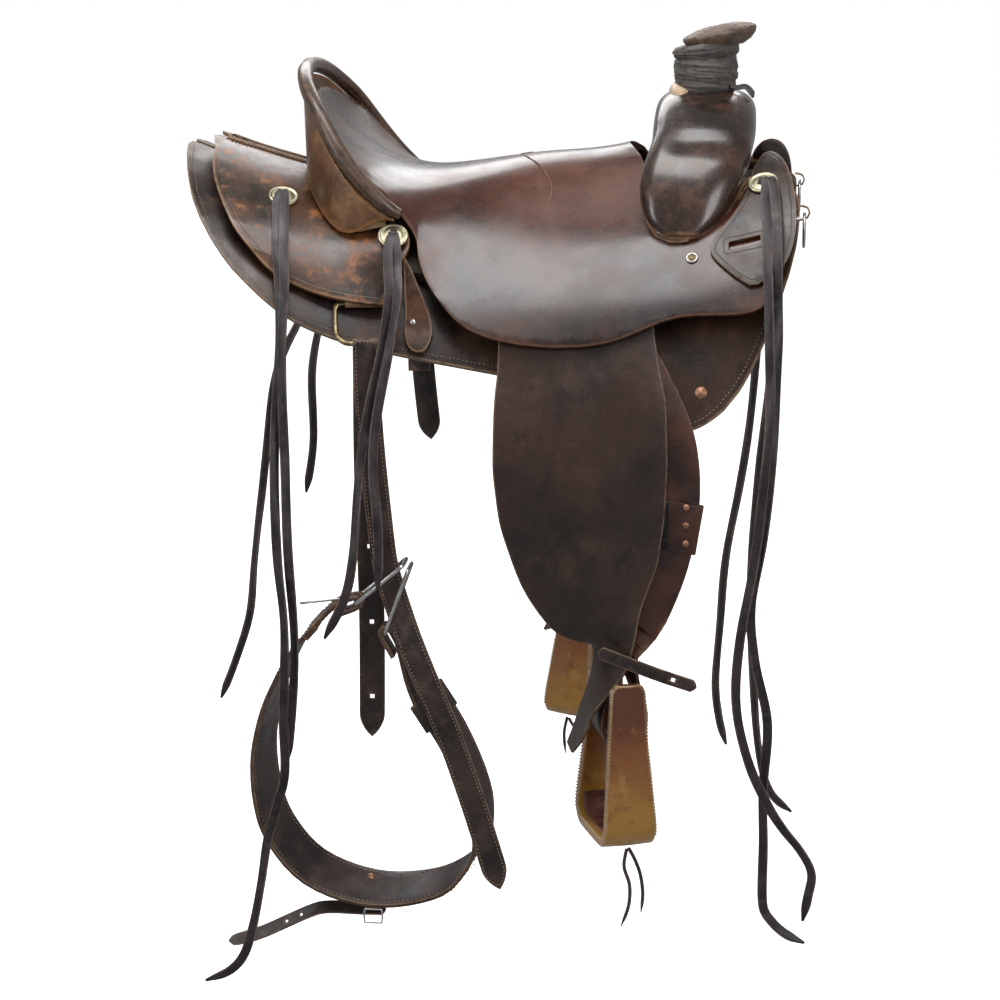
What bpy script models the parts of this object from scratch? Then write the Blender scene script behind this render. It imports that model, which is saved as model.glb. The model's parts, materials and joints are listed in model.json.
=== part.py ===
"""Western stock saddle with its leathers, stirrups, flank cinch and saddle strings.

+X points to the horse's head, +Y to its left side and +Z up. The origin is on the centre plane,
at the lowest point of the backbone line that the skirts are draped over.
"""

import math

import bmesh
import bpy
from mathutils import Matrix, Vector

# Driving dimensions, in metres.
GAP = 0.0003
HALF_BREADTH = 0.285  # the barrel under the skirts, centre plane to its widest point
ROCKER = 0.5  # rise of the backbone line, in metres per metre squared from the origin
DEPTH_MID, DEPTH_SLOPE = 0.35, 0.2  # the barrel's depth at the origin, and its change along X
DEPTH_LEAST, DEPTH_MOST = 0.29, 0.41

SKIRT_THICK = 0.006
BAR_LIFT, BAR_THICK = 0.001, 0.014
LEATHER_THICK, FENDER_THICK = 0.004, 0.004
SEAT_LIFT, SEAT_THICK = 0.037, 0.0045
KEEPER_LIFT, KEEPER_THICK = 0.0385, 0.0035
JOCKEY_THICK = 0.0045

HORN_X, HORN_BASE_Z = 0.2315, 0.1465
WRAP_RADIUS, WRAP_HEIGHT = 0.0405, 0.047
CAP_CENTRE = (0.2475, 0.0, 0.2085)
CAP_RADIUS, CAP_THICK, CAP_TILT = 0.0445, 0.021, math.radians(12)

SWING_AT = (0.118, 45.0)  # x and angle on the barrel where a stirrup leather turns over its bar
LEFT_BACK, LEFT_SWING = -0.035, math.radians(-4)  # the left leathers hang further back

BOLT_CENTRE = (0.1435, 0.250, -0.588)
BOLT_YAW = math.radians(20)  # the stirrups are turned this far from square
BOLT_RADIUS = 0.0055
STIRRUP_HEIGHT, STIRRUP_SPAN, STIRRUP_WIDTH, STIRRUP_WALL = 0.196, 0.126, 0.062, 0.0105

CONCHO_RADIUS, CONCHO_THICK = 0.0175, 0.0035
STRING_RADIUS, STRING_STEP = 0.0035, 0.0195

DEE_X, DEE_DEG = -0.1525, 48.0
DEE_HALF, DEE_HEIGHT, DEE_WIRE, DEE_LIFT = 0.034, 0.053, 0.003, 0.0078

RIGHT, LEFT = -1, 1
SIDES = ((RIGHT, "right"), (LEFT, "left"))

MATERIALS = {
    "seat_leather": ((0.17, 0.06, 0.035), 0.3, 0.0),
    "jockey_leather": ((0.20, 0.09, 0.05), 0.4, 0.0),
    "skirt_leather": ((0.14, 0.07, 0.05), 0.45, 0.0),
    "fender_leather": ((0.10, 0.06, 0.05), 0.4, 0.0),
    "strap_leather": ((0.13, 0.05, 0.04), 0.45, 0.0),
    "string_leather": ((0.06, 0.045, 0.045), 0.5, 0.0),
    "horn_wrap": ((0.05, 0.05, 0.055), 0.55, 0.0),
    "rawhide": ((0.62, 0.40, 0.20), 0.5, 0.0),
    "stirrup_rawhide": ((0.52, 0.24, 0.05), 0.25, 0.0),
    "steel": ((0.7, 0.7, 0.68), 0.3, 1.0),
    "nickel": ((0.62, 0.58, 0.42), 0.35, 1.0),
    "brass": ((0.42, 0.34, 0.2), 0.4, 1.0),
}


def clear_scene():
    for thing in list(bpy.data.objects):
        bpy.data.objects.remove(thing, do_unlink=True)


def finish(name, bm, material, pivot=(0, 0, 0), smooth_angle=40):
    """Turns a bmesh in world coordinates into a named object whose origin is at the pivot."""
    bmesh.ops.remove_doubles(bm, verts=bm.verts[:], dist=0.00002)
    bmesh.ops.recalc_face_normals(bm, faces=bm.faces[:])
    bmesh.ops.triangulate(bm, faces=bm.faces[:])
    bmesh.ops.translate(bm, verts=bm.verts[:], vec=-Vector(pivot))
    mesh = bpy.data.meshes.new(name)
    bm.to_mesh(mesh)
    bm.free()
    mesh.shade_smooth()
    mesh.set_sharp_from_angle(angle=math.radians(smooth_angle))
    thing = bpy.data.objects.new(name, mesh)
    thing.location = pivot
    bpy.context.scene.collection.objects.link(thing)
    thing.data.materials.append(finish_material(material))
    return thing


def finish_material(name):
    material = bpy.data.materials.get(name)
    if material:
        return material
    colour, roughness, metallic = MATERIALS[name]
    material = bpy.data.materials.new(name)
    material.use_nodes = True
    shader = material.node_tree.nodes["Principled BSDF"]
    shader.inputs["Base Color"].default_value = (*colour, 1.0)
    shader.inputs["Roughness"].default_value = roughness
    shader.inputs["Metallic"].default_value = metallic
    return material


# Curves, sheets and lofts.


def spline(points, per_span=4, closed=False):
    """Catmull-Rom curve through the points. A point given twice running makes a corner."""
    points = [Vector(p) for p in points]
    count = len(points)
    made = []
    for i in range(count if closed else count - 1):
        if closed:
            a, b, c, d = (points[(i + k) % count] for k in (-1, 0, 1, 2))
        else:
            a, b = points[max(i - 1, 0)], points[i]
            c, d = points[i + 1], points[min(i + 2, count - 1)]
        if (c - b).length < 1e-7:
            continue
        for k in range(per_span):
            t = k / per_span
            made.append(
                0.5
                * (
                    2 * b
                    + (c - a) * t
                    + (2 * a - 5 * b + 4 * c - d) * t * t
                    + (3 * b - a - 3 * c + d) * t * t * t
                )
            )
    if not closed:
        made.append(points[-1])
    return made


def table(rows, x):
    """Linear reading of a sorted two-column table, held at its ends."""
    if x <= rows[0][0]:
        return rows[0][1]
    for (x0, y0), (x1, y1) in zip(rows, rows[1:]):
        if x <= x1:
            return y0 + (y1 - y0) * (x - x0) / (x1 - x0)
    return rows[-1][1]


def ease(low, high, x):
    t = min(1.0, max(0.0, (x - low) / (high - low)))
    return t * t * (3 - 2 * t)


def flat_sheet(outline, low, high, cell_u, cell_v, slots=(), knots=()):
    """A closed flat slab between two heights, cut into cells so that it can be bent afterwards.

    slots are (u0, u1, v0, v1) windows cut right through it. knots are extra cuts across u.
    """
    bm = bmesh.new()
    bm.faces.new([bm.verts.new((p[0], p[1], low)) for p in outline])
    for axis, cell in ((0, cell_u), (1, cell_v)):
        values = [p[axis] for p in outline]
        least, most = min(values), max(values)
        steps = max(1, round((most - least) / cell))
        cuts = [least + (most - least) * step / steps for step in range(1, steps)]
        wanted = list(knots) if axis == 0 else []
        for slot in slots:
            wanted += slot[2 * axis : 2 * axis + 2]
        for edge in wanted:
            cuts = [c for c in cuts if abs(c - edge) > cell * 0.3]
        cuts += wanted
        normal = Vector((1, 0, 0)) if axis == 0 else Vector((0, 1, 0))
        for cut in cuts:
            parts = bm.verts[:] + bm.edges[:] + bm.faces[:]
            bmesh.ops.bisect_plane(bm, geom=parts, plane_co=normal * cut, plane_no=normal, dist=1e-5)
    for u0, u1, v0, v1 in slots:
        inside = []
        for face in bm.faces:
            middle = face.calc_center_median()
            if u0 < middle.x < u1 and v0 < middle.y < v1:
                inside.append(face)
        bmesh.ops.delete(bm, geom=inside, context="FACES")
    made = bmesh.ops.extrude_face_region(bm, geom=bm.faces[:], use_keep_orig=True)["geom"]
    for vert in made:
        if isinstance(vert, bmesh.types.BMVert):
            vert.co.z = high
    bmesh.ops.recalc_face_normals(bm, faces=bm.faces[:])
    bmesh.ops.triangulate(bm, faces=bm.faces[:])
    return bm


def bend(bm, place):
    for vert in bm.verts:
        vert.co = place(vert.co.x, vert.co.y, vert.co.z)
    return bm


def loft(bm, rings, joined=False):
    """Skins rings of equal count by extruding the first ring's edges, with flat ends or joined round."""
    ring = [bm.verts.new(p) for p in rings[0]]
    first = list(ring)
    edges = [bm.edges.new((a, b)) for a, b in zip(ring, ring[1:] + ring[:1])]
    for points in rings[1:]:
        made = bmesh.ops.extrude_edge_only(bm, edges=edges)["geom"]
        fresh = {v for v in made if isinstance(v, bmesh.types.BMVert)}
        above = []
        for vert in ring:
            above.append(next(e.other_vert(vert) for e in vert.link_edges if e.other_vert(vert) in fresh))
        ring = above
        for vert, point in zip(ring, points):
            vert.co = point
        edges = [bm.edges.get((a, b)) for a, b in zip(ring, ring[1:] + ring[:1])]
    if joined:
        for i in range(len(ring)):
            j = (i + 1) % len(ring)
            bm.faces.new((ring[i], ring[j], first[j], first[i]))
    else:
        bm.faces.new(first)
        bm.faces.new(ring)
    return bm


def turned(bm, profile, axis_place, segments=24):
    """Spins a profile of (radius, height) pairs that starts and ends on the axis, or is a closed ring."""
    ring = profile[0][0] > 1e-6
    verts = [bm.verts.new((r, 0, h)) for r, h in profile]
    pairs = list(zip(verts, verts[1:])) + ([(verts[-1], verts[0])] if ring else [])
    edges = [bm.edges.new(pair) for pair in pairs]
    bmesh.ops.spin(
        bm,
        geom=verts + edges,
        cent=(0, 0, 0),
        axis=(0, 0, 1),
        angle=2 * math.pi,
        steps=segments,
        use_merge=True,
    )
    bmesh.ops.remove_doubles(bm, verts=bm.verts[:], dist=1e-6)
    bmesh.ops.transform(bm, matrix=axis_place, verts=bm.verts[:])
    return bm


def strap(path, across, widths, thickness, per_span=4):
    """A flat strap swept along a smooth path. across and widths are given at the path's own points."""
    line = spline(path, per_span)
    spans = len(path) - 1
    rings = []
    for i, point in enumerate(line):
        at = min(i / per_span, spans)
        k = min(int(at), spans - 1)
        part = at - k
        side = (Vector(across[k]) * (1 - part) + Vector(across[k + 1]) * part).normalized()
        width = widths[k] * (1 - part) + widths[k + 1] * part
        ahead = line[min(i + 1, len(line) - 1)] - line[max(i - 1, 0)]
        side = (side - ahead.normalized() * side.dot(ahead.normalized())).normalized()
        face = ahead.normalized().cross(side).normalized()
        half, depth = side * width / 2, face * thickness / 2
        rings.append([point - half - depth, point + half - depth, point + half + depth, point - half + depth])
    return loft(bmesh.new(), rings)


def along(path, across, per_span=6):
    """Reads a path by distance: gives a function of (distance, sideways, height) into the world."""
    line = spline(path, per_span)
    spans = len(path) - 1
    run = [0.0]
    for a, b in zip(line, line[1:]):
        run.append(run[-1] + (b - a).length)
    sides, faces = [], []
    for i in range(len(line)):
        at = min(i / per_span, spans)
        k = min(int(at), spans - 1)
        side = Vector(across[k]).lerp(Vector(across[k + 1]), at - k)
        ahead = (line[min(i + 1, len(line) - 1)] - line[max(i - 1, 0)]).normalized()
        side = (side - ahead * side.dot(ahead)).normalized()
        sides.append(side)
        faces.append(ahead.cross(side).normalized())

    def place(distance, sideways, height):
        distance = min(max(distance, 0.0), run[-1])
        i = max(k for k in range(len(run) - 1) if run[k] <= distance or k == 0)
        part = (distance - run[i]) / max(run[i + 1] - run[i], 1e-9)
        point = line[i].lerp(line[i + 1], part)
        side = sides[i].lerp(sides[i + 1], part)
        face = faces[i].lerp(faces[i + 1], part)
        return point + side * sideways + face * height

    return place, run[-1], run[::per_span]


def bent_strap(path, across, width, thickness, cell, tips=(0.0, 0.0), holes=(), hole=0.005):
    """A strap cut flat, with pointed or square ends and punched holes, then laid along a path."""
    place, length, knots = along(path, across)
    half = width / 2
    outline = [(0.0, 0.0)] if tips[0] else [(0.0, half), (0.0, -half)]
    outline += [(tips[0] * 0.4, -half * 0.6), (tips[0], -half)] if tips[0] else []
    outline += [(length - tips[1], -half)]
    outline += [(length - tips[1] * 0.4, -half * 0.6), (length, 0.0)] if tips[1] else [(length, -half)]
    outline += [(length - tips[1] * 0.4, half * 0.6)] if tips[1] else [(length, half)]
    outline += [(length - tips[1], half)] if tips[1] else []
    outline += [(tips[0], half), (tips[0] * 0.4, half * 0.6)] if tips[0] else []
    slots = [(at - hole / 2, at + hole / 2, -hole / 2, hole / 2) for at in holes]
    bm = flat_sheet(outline, -thickness / 2, thickness / 2, cell, width * 2, slots, knots[1:-1])
    return bend(bm, place)


def wire(name, points, radius, material, closed=False, resolution=2, radii=None, pivot=(0, 0, 0)):
    """Round wire along the points, made by a bevelled curve."""
    data = bpy.data.curves.new(name, "CURVE")
    data.dimensions = "3D"
    data.bevel_depth = radius
    data.bevel_resolution = resolution
    data.use_fill_caps = not closed
    line = data.splines.new("POLY")
    line.points.add(len(points) - 1)
    for i, point in enumerate(points):
        line.points[i].co = (*(Vector(point) - Vector(pivot)), 1.0)
        line.points[i].radius = radii[i] if radii else 1.0
    line.use_cyclic_u = closed
    thing = bpy.data.objects.new(name, data)
    thing.location = pivot
    bpy.context.scene.collection.objects.link(thing)
    thing.data.materials.append(finish_material(material))
    return thing


# The barrel: every draped piece of leather lies on it at its own lift.


def backbone(x):
    return ROCKER * x * x


def barrel_depth(x):
    return min(DEPTH_MOST, max(DEPTH_LEAST, DEPTH_MID + DEPTH_SLOPE * x))


def on_barrel(x, degrees, lift, side):
    """A point by its angle round the barrel, 0 on the backbone and 90 at the widest."""
    turn = math.radians(degrees)
    depth = barrel_depth(x)
    y = (HALF_BREADTH + lift) * math.sin(turn)
    return Vector((x, side * y, backbone(x) - depth + (depth + lift) * math.cos(turn)))


def barrel_height(x, y, lift):
    depth = barrel_depth(x)
    reach = min(1.0, abs(y) / (HALF_BREADTH + lift))
    return backbone(x) - depth + (depth + lift) * math.sqrt(1 - reach * reach)


def barrel_place(x, degrees, lift, side):
    """A matrix whose Z is square to the barrel there and whose Y runs down the slope."""
    here = on_barrel(x, degrees, lift, side)
    down = (on_barrel(x, degrees + 0.5, lift, side) - here).normalized()
    along_x = (on_barrel(x + 0.002, degrees, lift, side) - here).normalized()
    out = along_x.cross(down).normalized() * side
    matrix = Matrix((down.cross(out), down, out)).transposed().to_4x4()
    matrix.translation = here
    return matrix


PER_DEGREE = 0.01  # a draped sheet is drawn flat with this many metres for each degree


def drape(name, outline, lift, thickness, side, material, per_span=4, cell=(0.04, 7), slots=()):
    """A sheet whose outline is in (x, degrees). lift is a number or a function of x and degrees."""
    flat = spline([(x, deg * PER_DEGREE, 0) for x, deg in outline], per_span, closed=True)
    bm = flat_sheet(flat, 0.0, thickness, cell[0], cell[1] * PER_DEGREE, slots)

    def place(u, v, h):
        degrees = v / PER_DEGREE
        under = lift(u, degrees) if callable(lift) else lift
        return on_barrel(u, degrees, under + h, side)

    return finish(name, bend(bm, place), material)


# The seat's upper surface, as a height over the plan.

SEAT_LINE = (
    (-0.247, 0.167),
    (-0.235, 0.140),
    (-0.215, 0.107),
    (-0.190, 0.081),
    (-0.160, 0.062),
    (-0.125, 0.051),
    (-0.089, 0.048),
    (-0.028, 0.057),
    (0.033, 0.067),
    (0.105, 0.072),
    (0.160, 0.083),
    (0.200, 0.085),
)
DISH_CURVE = ((-0.20, 0.6), (-0.16, -0.2), (-0.12, -0.9), (-0.05, -1.4), (0.05, -3.0), (0.16, -4.0))
SHOULDER_IN = ((-0.13, 0.170), (-0.05, 0.085), (0.05, 0.050), (0.16, 0.040))
SHOULDER_OUT = ((-0.13, 0.222), (-0.05, 0.225), (0.05, 0.200), (0.16, 0.180))


def seat_line(x):
    """The seat's centre line, with its corners eased over 30 mm."""
    return sum(table(SEAT_LINE, x + step) for step in (-0.015, -0.0075, 0, 0.0075, 0.015)) / 5


def seat_height(x, y):
    top = seat_line(x) + table(DISH_CURVE, x) * y * y
    side = barrel_height(x, y, SEAT_LIFT)
    share = ease(table(SHOULDER_IN, x), table(SHOULDER_OUT, x), abs(y))
    return top * (1 - share) + side * share


def on_seat(x, y, lift):
    """A point over the seat's surface, lifted square to it."""
    step = 0.001
    slope_x = (seat_height(x + step, y) - seat_height(x - step, y)) / (2 * step)
    slope_y = (seat_height(x, y + step) - seat_height(x, y - step)) / (2 * step)
    out = Vector((-slope_x, -slope_y, 1)).normalized()
    return Vector((x, y, seat_height(x, y))) + out * lift


# The cantle's rim, from its end at the left over the top.

RIM = (
    (-0.114, 0.184, 0.010),
    (-0.132, 0.187, 0.020),
    (-0.163, 0.185, 0.050),
    (-0.190, 0.174, 0.086),
    (-0.213, 0.150, 0.122),
    (-0.233, 0.110, 0.149),
    (-0.243, 0.060, 0.163),
    (-0.247, 0.000, 0.168),
)


def rim_points(per_span=3):
    whole = [Vector(p) for p in RIM] + [Vector((x, -y, z)) for x, y, z in RIM[-2::-1]]
    return spline(whole, per_span)


def rim_inward(points, i):
    """Level direction from the rim towards the middle of the seat."""
    ahead = points[min(i + 1, len(points) - 1)] - points[max(i - 1, 0)]
    level = Vector((ahead.y, -ahead.x, 0)).normalized()
    middle = Vector((-0.05, 0, 0)) - points[i]
    return level if level.dot(middle) > 0 else -level


def near(x, centre, reach):
    """1 at the centre, easing to 0 at the reach."""
    return 1 - ease(0, reach, abs(x - centre))


def rear_lift(x, degrees):
    """The rear jockeys ride over the bars, come down to the skirts, and rise to the cantle's corners."""
    edge = 0.011 - 0.0092 * near(x, DEE_X, 0.085)
    corner = near(x, -0.122, 0.075) * near(degrees, 35, 13)
    return 0.017 - edge * ease(38, 49, degrees) + 0.023 * corner


def jockey_top(x, y):
    """Height of the rear jockeys' upper surface over the plan."""
    reach = min(1.0, abs(y) / (HALF_BREADTH + 0.02))
    return barrel_height(x, y, rear_lift(x, math.degrees(math.asin(reach))) + JOCKEY_THICK)


def mirrored(outline):
    """Both halves of an outline that is given for one side from the front centre to the rear centre."""
    return list(outline) + [(x, -y) for x, y in reversed(outline) if y > 0]


# Tree: bars, fork, cantle board and horn.

BAR_OUTLINE = (
    (-0.285, 20),
    (-0.275, 32),
    (-0.20, 37),
    (0.0, 40),
    (0.18, 40),
    (0.27, 36),
    (0.305, 28),
    (0.30, 18),
    (0.18, 12),
    (0.0, 11),
    (-0.2, 12),
)

FORK_STATIONS = (  # outer (y, z), inner (y, z), middle x, half length along x
    ((0.188, -0.008), (0.178, -0.011), 0.214, 0.014),
    ((0.183, 0.010), (0.164, -0.005), 0.2145, 0.031),
    ((0.173, 0.036), (0.138, 0.010), 0.217, 0.041),
    ((0.156, 0.066), (0.112, 0.028), 0.2225, 0.0485),
    ((0.125, 0.096), (0.088, 0.046), 0.2285, 0.0550),
    ((0.085, 0.122), (0.062, 0.066), 0.232, 0.0590),
    ((0.045, 0.139), (0.034, 0.080), 0.2325, 0.0585),
    ((0.000, 0.145), (0.000, 0.085), 0.2325, 0.0580),
)
FORK_COVER_THICK = 0.0035


def fork_rings(inset, drop_ends=0):
    """Oval sections of the fork from the left tip over the top to the right tip."""
    stations = list(FORK_STATIONS[drop_ends:])
    stations += [((-o[0], o[1]), (-i[0], i[1]), x, a) for o, i, x, a in stations[-2::-1]]
    rings = []
    for outer, inner, middle, half in stations:
        outer, inner = Vector((0, *outer)), Vector((0, *inner))
        centre = (outer + inner) / 2
        radial = (outer - inner) / 2
        radial *= max(0.3, 1 - inset / radial.length)
        ring = []
        for k in range(16):
            turn = 2 * math.pi * k / 16
            c, s = math.cos(turn), math.sin(turn)
            along = math.copysign(abs(c) ** 0.75, c) * (half - inset)
            ring.append(centre + Vector((middle + along, 0, 0)) + radial * math.copysign(abs(s) ** 0.75, s))
        rings.append(ring)
    return rings


def make_tree():
    for side, word in SIDES:
        drape("tree_bar_" + word, BAR_OUTLINE, BAR_LIFT, BAR_THICK, side, "rawhide", 3, (0.06, 8))

    finish("tree_fork", loft(bmesh.new(), fork_rings(FORK_COVER_THICK + GAP, 1)), "rawhide")

    outer, inner = fork_rings(0.0), fork_rings(FORK_COVER_THICK)
    finish("fork_cover", loft(bmesh.new(), outer + inner[::-1], joined=True), "seat_leather")

    points = rim_points(2)
    rings = []
    for i in range(2, len(points) - 2):
        rim, inward = points[i], rim_inward(points, i)
        back = rim + inward * 0.007
        front = rim + inward * 0.026
        foot = jockey_top(back.x, back.y) + 0.004
        toe = jockey_top(front.x, front.y) + 0.004
        crest = seat_height(front.x, front.y) - 0.024
        rings.append(
            [
                Vector((back.x, back.y, max(foot + 0.003, rim.z - 0.029))),
                Vector((front.x, front.y, crest)),
                Vector((front.x, front.y, min(toe, crest - 0.004))),
                Vector((back.x, back.y, foot)),
            ]
        )
    finish("tree_cantle", loft(bmesh.new(), rings), "rawhide")

    place = Matrix.Translation((HORN_X, 0, HORN_BASE_Z))
    profile = [(0, 0), (0.026, 0), (0.026, 0.004), (0.018, 0.010), (0.016, 0.024), (0.017, 0.043), (0, 0.043)]
    finish("horn", turned(bmesh.new(), profile, place, 20), "steel")

    bore, foot, crown = 0.0265, WRAP_RADIUS - 0.002, WRAP_RADIUS - 0.004
    ring = [(bore, 0), (foot, 0), (WRAP_RADIUS, 0.006), (WRAP_RADIUS - 0.0025, 0.022)]
    ring += [(WRAP_RADIUS - 0.001, WRAP_HEIGHT - 0.005), (crown, WRAP_HEIGHT), (bore, WRAP_HEIGHT)]
    wrap = turned(bmesh.new(), ring, Matrix.Identity(4), 24)
    for vert in wrap.verts:
        vert.co.z += vert.co.x * math.tan(CAP_TILT) * vert.co.z / WRAP_HEIGHT + GAP
    bmesh.ops.transform(wrap, matrix=place, verts=wrap.verts[:])
    finish("horn_wrap", wrap, "horn_wrap")

    half = CAP_THICK / 2
    profile = [
        (0, -half),
        (CAP_RADIUS - 0.008, -half),
        (CAP_RADIUS - 0.001, -half * 0.3),
        (CAP_RADIUS, half * 0.2),
        (CAP_RADIUS - 0.005, half * 0.8),
        (CAP_RADIUS - 0.014, half),
        (0, half),
    ]
    tilt = Matrix.Translation(CAP_CENTRE) @ Matrix.Rotation(-CAP_TILT, 4, "Y")
    finish("horn_cap", turned(bmesh.new(), profile, tilt, 28), "seat_leather")


# Seat, cantle back and binding.

SEAT_FRONT = (
    (0.140, 0.0),
    (0.148, 0.035),
    (0.164, 0.075),
    (0.166, 0.110),
    (0.169, 0.140),
    (0.181, 0.170),
    (0.213, 0.183),
    (0.243, 0.172),
    (0.265, 0.149),
    (0.281, 0.125),
    (0.300, 0.114),
    (0.322, 0.160),
    (0.327, 0.205),
    (0.314, 0.242),
    (0.290, 0.2515),
    (0.250, 0.249),
    (0.211, 0.247),
    (0.178, 0.251),
    (0.144, 0.258),
    (0.099, 0.262),
    (0.031, 0.262),
    (-0.027, 0.256),
    (-0.057, 0.242),
    (-0.080, 0.222),
    (-0.092, 0.203),
    (-0.099, 0.184),
)
RIM_RADIUS = 0.0095


def make_seat():
    outline = [Vector((x, y, 0)) for x, y in SEAT_FRONT]
    points = rim_points(2)
    middle = len(points) // 2
    inside = []
    for i in range(2, middle + 1):
        inward = rim_inward(points, i)
        inside.append(points[i] + inward * (RIM_RADIUS + 0.003))
    outline += [Vector((p.x, p.y, 0)) for p in inside]
    outline = spline(outline, 2)
    flat = [(p.x, p.y) for p in outline]
    flat += [(x, -y) for x, y in reversed(flat) if y > 1e-6]
    bm = flat_sheet(flat, -SEAT_THICK, 0.0, 0.028, 0.03)
    finish("seat", bend(bm, on_seat), "seat_leather")

    ground = mirrored(((0.125, 0.0), (0.11, 0.05), (0.0, 0.06), (-0.10, 0.075), (-0.15, 0.07), (-0.175, 0.0)))
    ground = [(p.x, p.y) for p in spline([(x, y, 0) for x, y in ground], 2, closed=True)]
    bm = flat_sheet(ground, -0.0110, -0.0075, 0.04, 0.04)
    finish("ground_seat", bend(bm, on_seat), "steel")

    points = rim_points(3)
    radii = [0.62 + 0.38 * ease(0, 4, min(i, len(points) - 1 - i)) for i in range(len(points))]
    wire("cantle_binding", points, RIM_RADIUS, "seat_leather", radii=radii)

    rings = []
    for i in range(1, len(points) - 1):
        rim, inward = points[i], rim_inward(points, i)
        ahead = (points[i + 1] - points[i - 1]).normalized()
        under = (Vector((0, 0, -1)) + ahead * ahead.z).normalized()
        crown = rim + under * (RIM_RADIUS * radii[i] + 0.0016) - inward * 0.0025
        wall = inward * 0.0035
        base = crown + inward * 0.003
        foot = max(jockey_top(base.x, base.y), jockey_top(base.x + wall.x, base.y + wall.y))
        foot += 0.0065 + 0.010 * ease(-0.165, -0.130, rim.x)
        base.z = min(foot, crown.z - 0.003)
        rings.append([crown, crown + wall, base + wall, base])
    finish("cantle_back", loft(bmesh.new(), rings), "jockey_leather")


# Skirts, rear jockeys, rigging and the small fittings on them.

SKIRT_OUTLINE = (
    (-0.391, 2),
    (-0.388, 13),
    (-0.368, 30),
    (-0.339, 41),
    (-0.309, 48),
    (-0.272, 53),
    (-0.236, 56),
    (-0.185, 57.3),
    (-0.085, 57.3),
    (-0.005, 57.8),
    (0.080, 60),
    (0.150, 65),
    (0.200, 68),
    (0.242, 67.4),
    (0.280, 62.2),
    (0.307, 54.3),
    (0.334, 42),
    (0.345, 30),
    (0.336, 18),
    (0.280, 12),
    (0.100, 8),
    (-0.100, 6),
    (-0.250, 3.5),
    (-0.360, 2),
)

REAR_JOCKEY_OUTLINE = (
    (-0.351, 2),
    (-0.352, 13),
    (-0.342, 26),
    (-0.312, 38.6),
    (-0.286, 43.5),
    (-0.254, 47.5),
    (-0.190, 49.4),
    (-0.132, 48.6),
    (-0.121, 46),
    (-0.117, 42),
    (-0.106, 38),
    (-0.104, 34),
    (-0.122, 26),
    (-0.150, 19),
    (-0.190, 12),
    (-0.215, 6),
    (-0.222, 2),
)

KEEPER_OUTLINE = (
    (0.302, 14),
    (0.291, 19),
    (0.285, 25),
    (0.270, 31),
    (0.252, 35),
    (0.243, 37.5),
    (0.250, 40.8),
    (0.288, 46.8),
    (0.306, 46.4),
    (0.323, 45.2),
    (0.334, 43),
    (0.340, 38),
    (0.338, 30),
    (0.330, 22),
    (0.316, 15),
)
KEEPER_SLOT = (0.264, 0.300, 0.375, 0.392)

TAB_OUTLINE = (
    (-0.108, 39),
    (-0.102, 40),
    (-0.095, 42),
    (-0.084, 45.5),
    (-0.076, 48.5),
    (-0.073, 52),
    (-0.079, 55.4),
    (-0.089, 56.4),
    (-0.100, 55.4),
    (-0.104, 52.5),
    (-0.105, 47.5),
    (-0.107, 43),
)


def tab_lift(x, degrees):
    """The rear tab starts at the height of the jockey's corner and comes down on to the skirt."""
    return 0.0035 + 0.0335 * (1 - ease(36, 51, degrees))


def dee_place(side):
    """The dee's own axes: X level along its bars, Y down, Z square off the skirt."""
    spot = barrel_place(DEE_X, DEE_DEG, DEE_LIFT, side)
    out = spot.col[2].to_3d()
    level = Vector((-out.y, out.x, 0)).normalized() * (-side)
    down = out.cross(level).normalized()
    if down.z > 0:
        down = -down
    matrix = Matrix((level, down, out)).transposed().to_4x4()
    matrix.translation = spot.translation
    return matrix


def dee_points(side):
    """The rear rigging dee: a straight bar above, and a bow with a short flat at its bottom."""
    place = dee_place(side)
    flat, round_ = 0.017, DEE_HALF - 0.017
    outline = [(-DEE_HALF + 0.004, 0), (DEE_HALF - 0.004, 0), (DEE_HALF, 0.004)]
    for k in range(7):
        turn = math.pi / 2 * k / 6
        outline.append((flat + round_ * math.cos(turn), DEE_HEIGHT - round_ + round_ * math.sin(turn)))
    outline += [(-u, v) for u, v in reversed(outline[2:])]
    return [place @ Vector((u, v, 0)) for u, v in outline]


def billet_pivot(side):
    return dee_place(side) @ Vector((0, DEE_HEIGHT, 0))


def make_skirts():
    for side, word in SIDES:
        drape("skirt_" + word, SKIRT_OUTLINE, -SKIRT_THICK, SKIRT_THICK, side, "skirt_leather", 2)
        drape(
            "rear_jockey_" + word,
            REAR_JOCKEY_OUTLINE,
            rear_lift,
            JOCKEY_THICK,
            side,
            "jockey_leather",
            3,
            (0.035, 6),
        )
        drape(
            "latigo_keeper_" + word,
            KEEPER_OUTLINE,
            KEEPER_LIFT,
            KEEPER_THICK,
            side,
            "skirt_leather",
            2,
            (0.03, 7),
            [KEEPER_SLOT],
        )

        drape("rear_tab_" + word, TAB_OUTLINE, tab_lift, 0.004, side, "strap_leather", 3, (0.02, 4))

        # The rear rigging leather lies on the skirt below the bar and folds round the dee's bar.
        place = dee_place(side)
        loop = DEE_WIRE + GAP + 0.001
        path = [(-0.034, -loop), (-0.020, -loop), (-0.006, -loop)]
        path += [(loop * math.sin(math.pi * k / 4), -loop * math.cos(math.pi * k / 4)) for k in range(5)]
        path += [(-0.006, loop), (-0.020, loop), (-0.034, loop)]
        path = [place @ Vector((0, v, h)) for v, h in path]
        across = [place.col[0].to_3d()] * len(path)
        bm = strap(path, across, [0.044] * len(path), 0.002, 1)
        finish("rear_rigging_" + word, bm, "strap_leather")
        hinge = dee_place(side).translation
        wire("rear_dee_" + word, dee_points(side), DEE_WIRE, "brass", closed=True, pivot=hinge)


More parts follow.
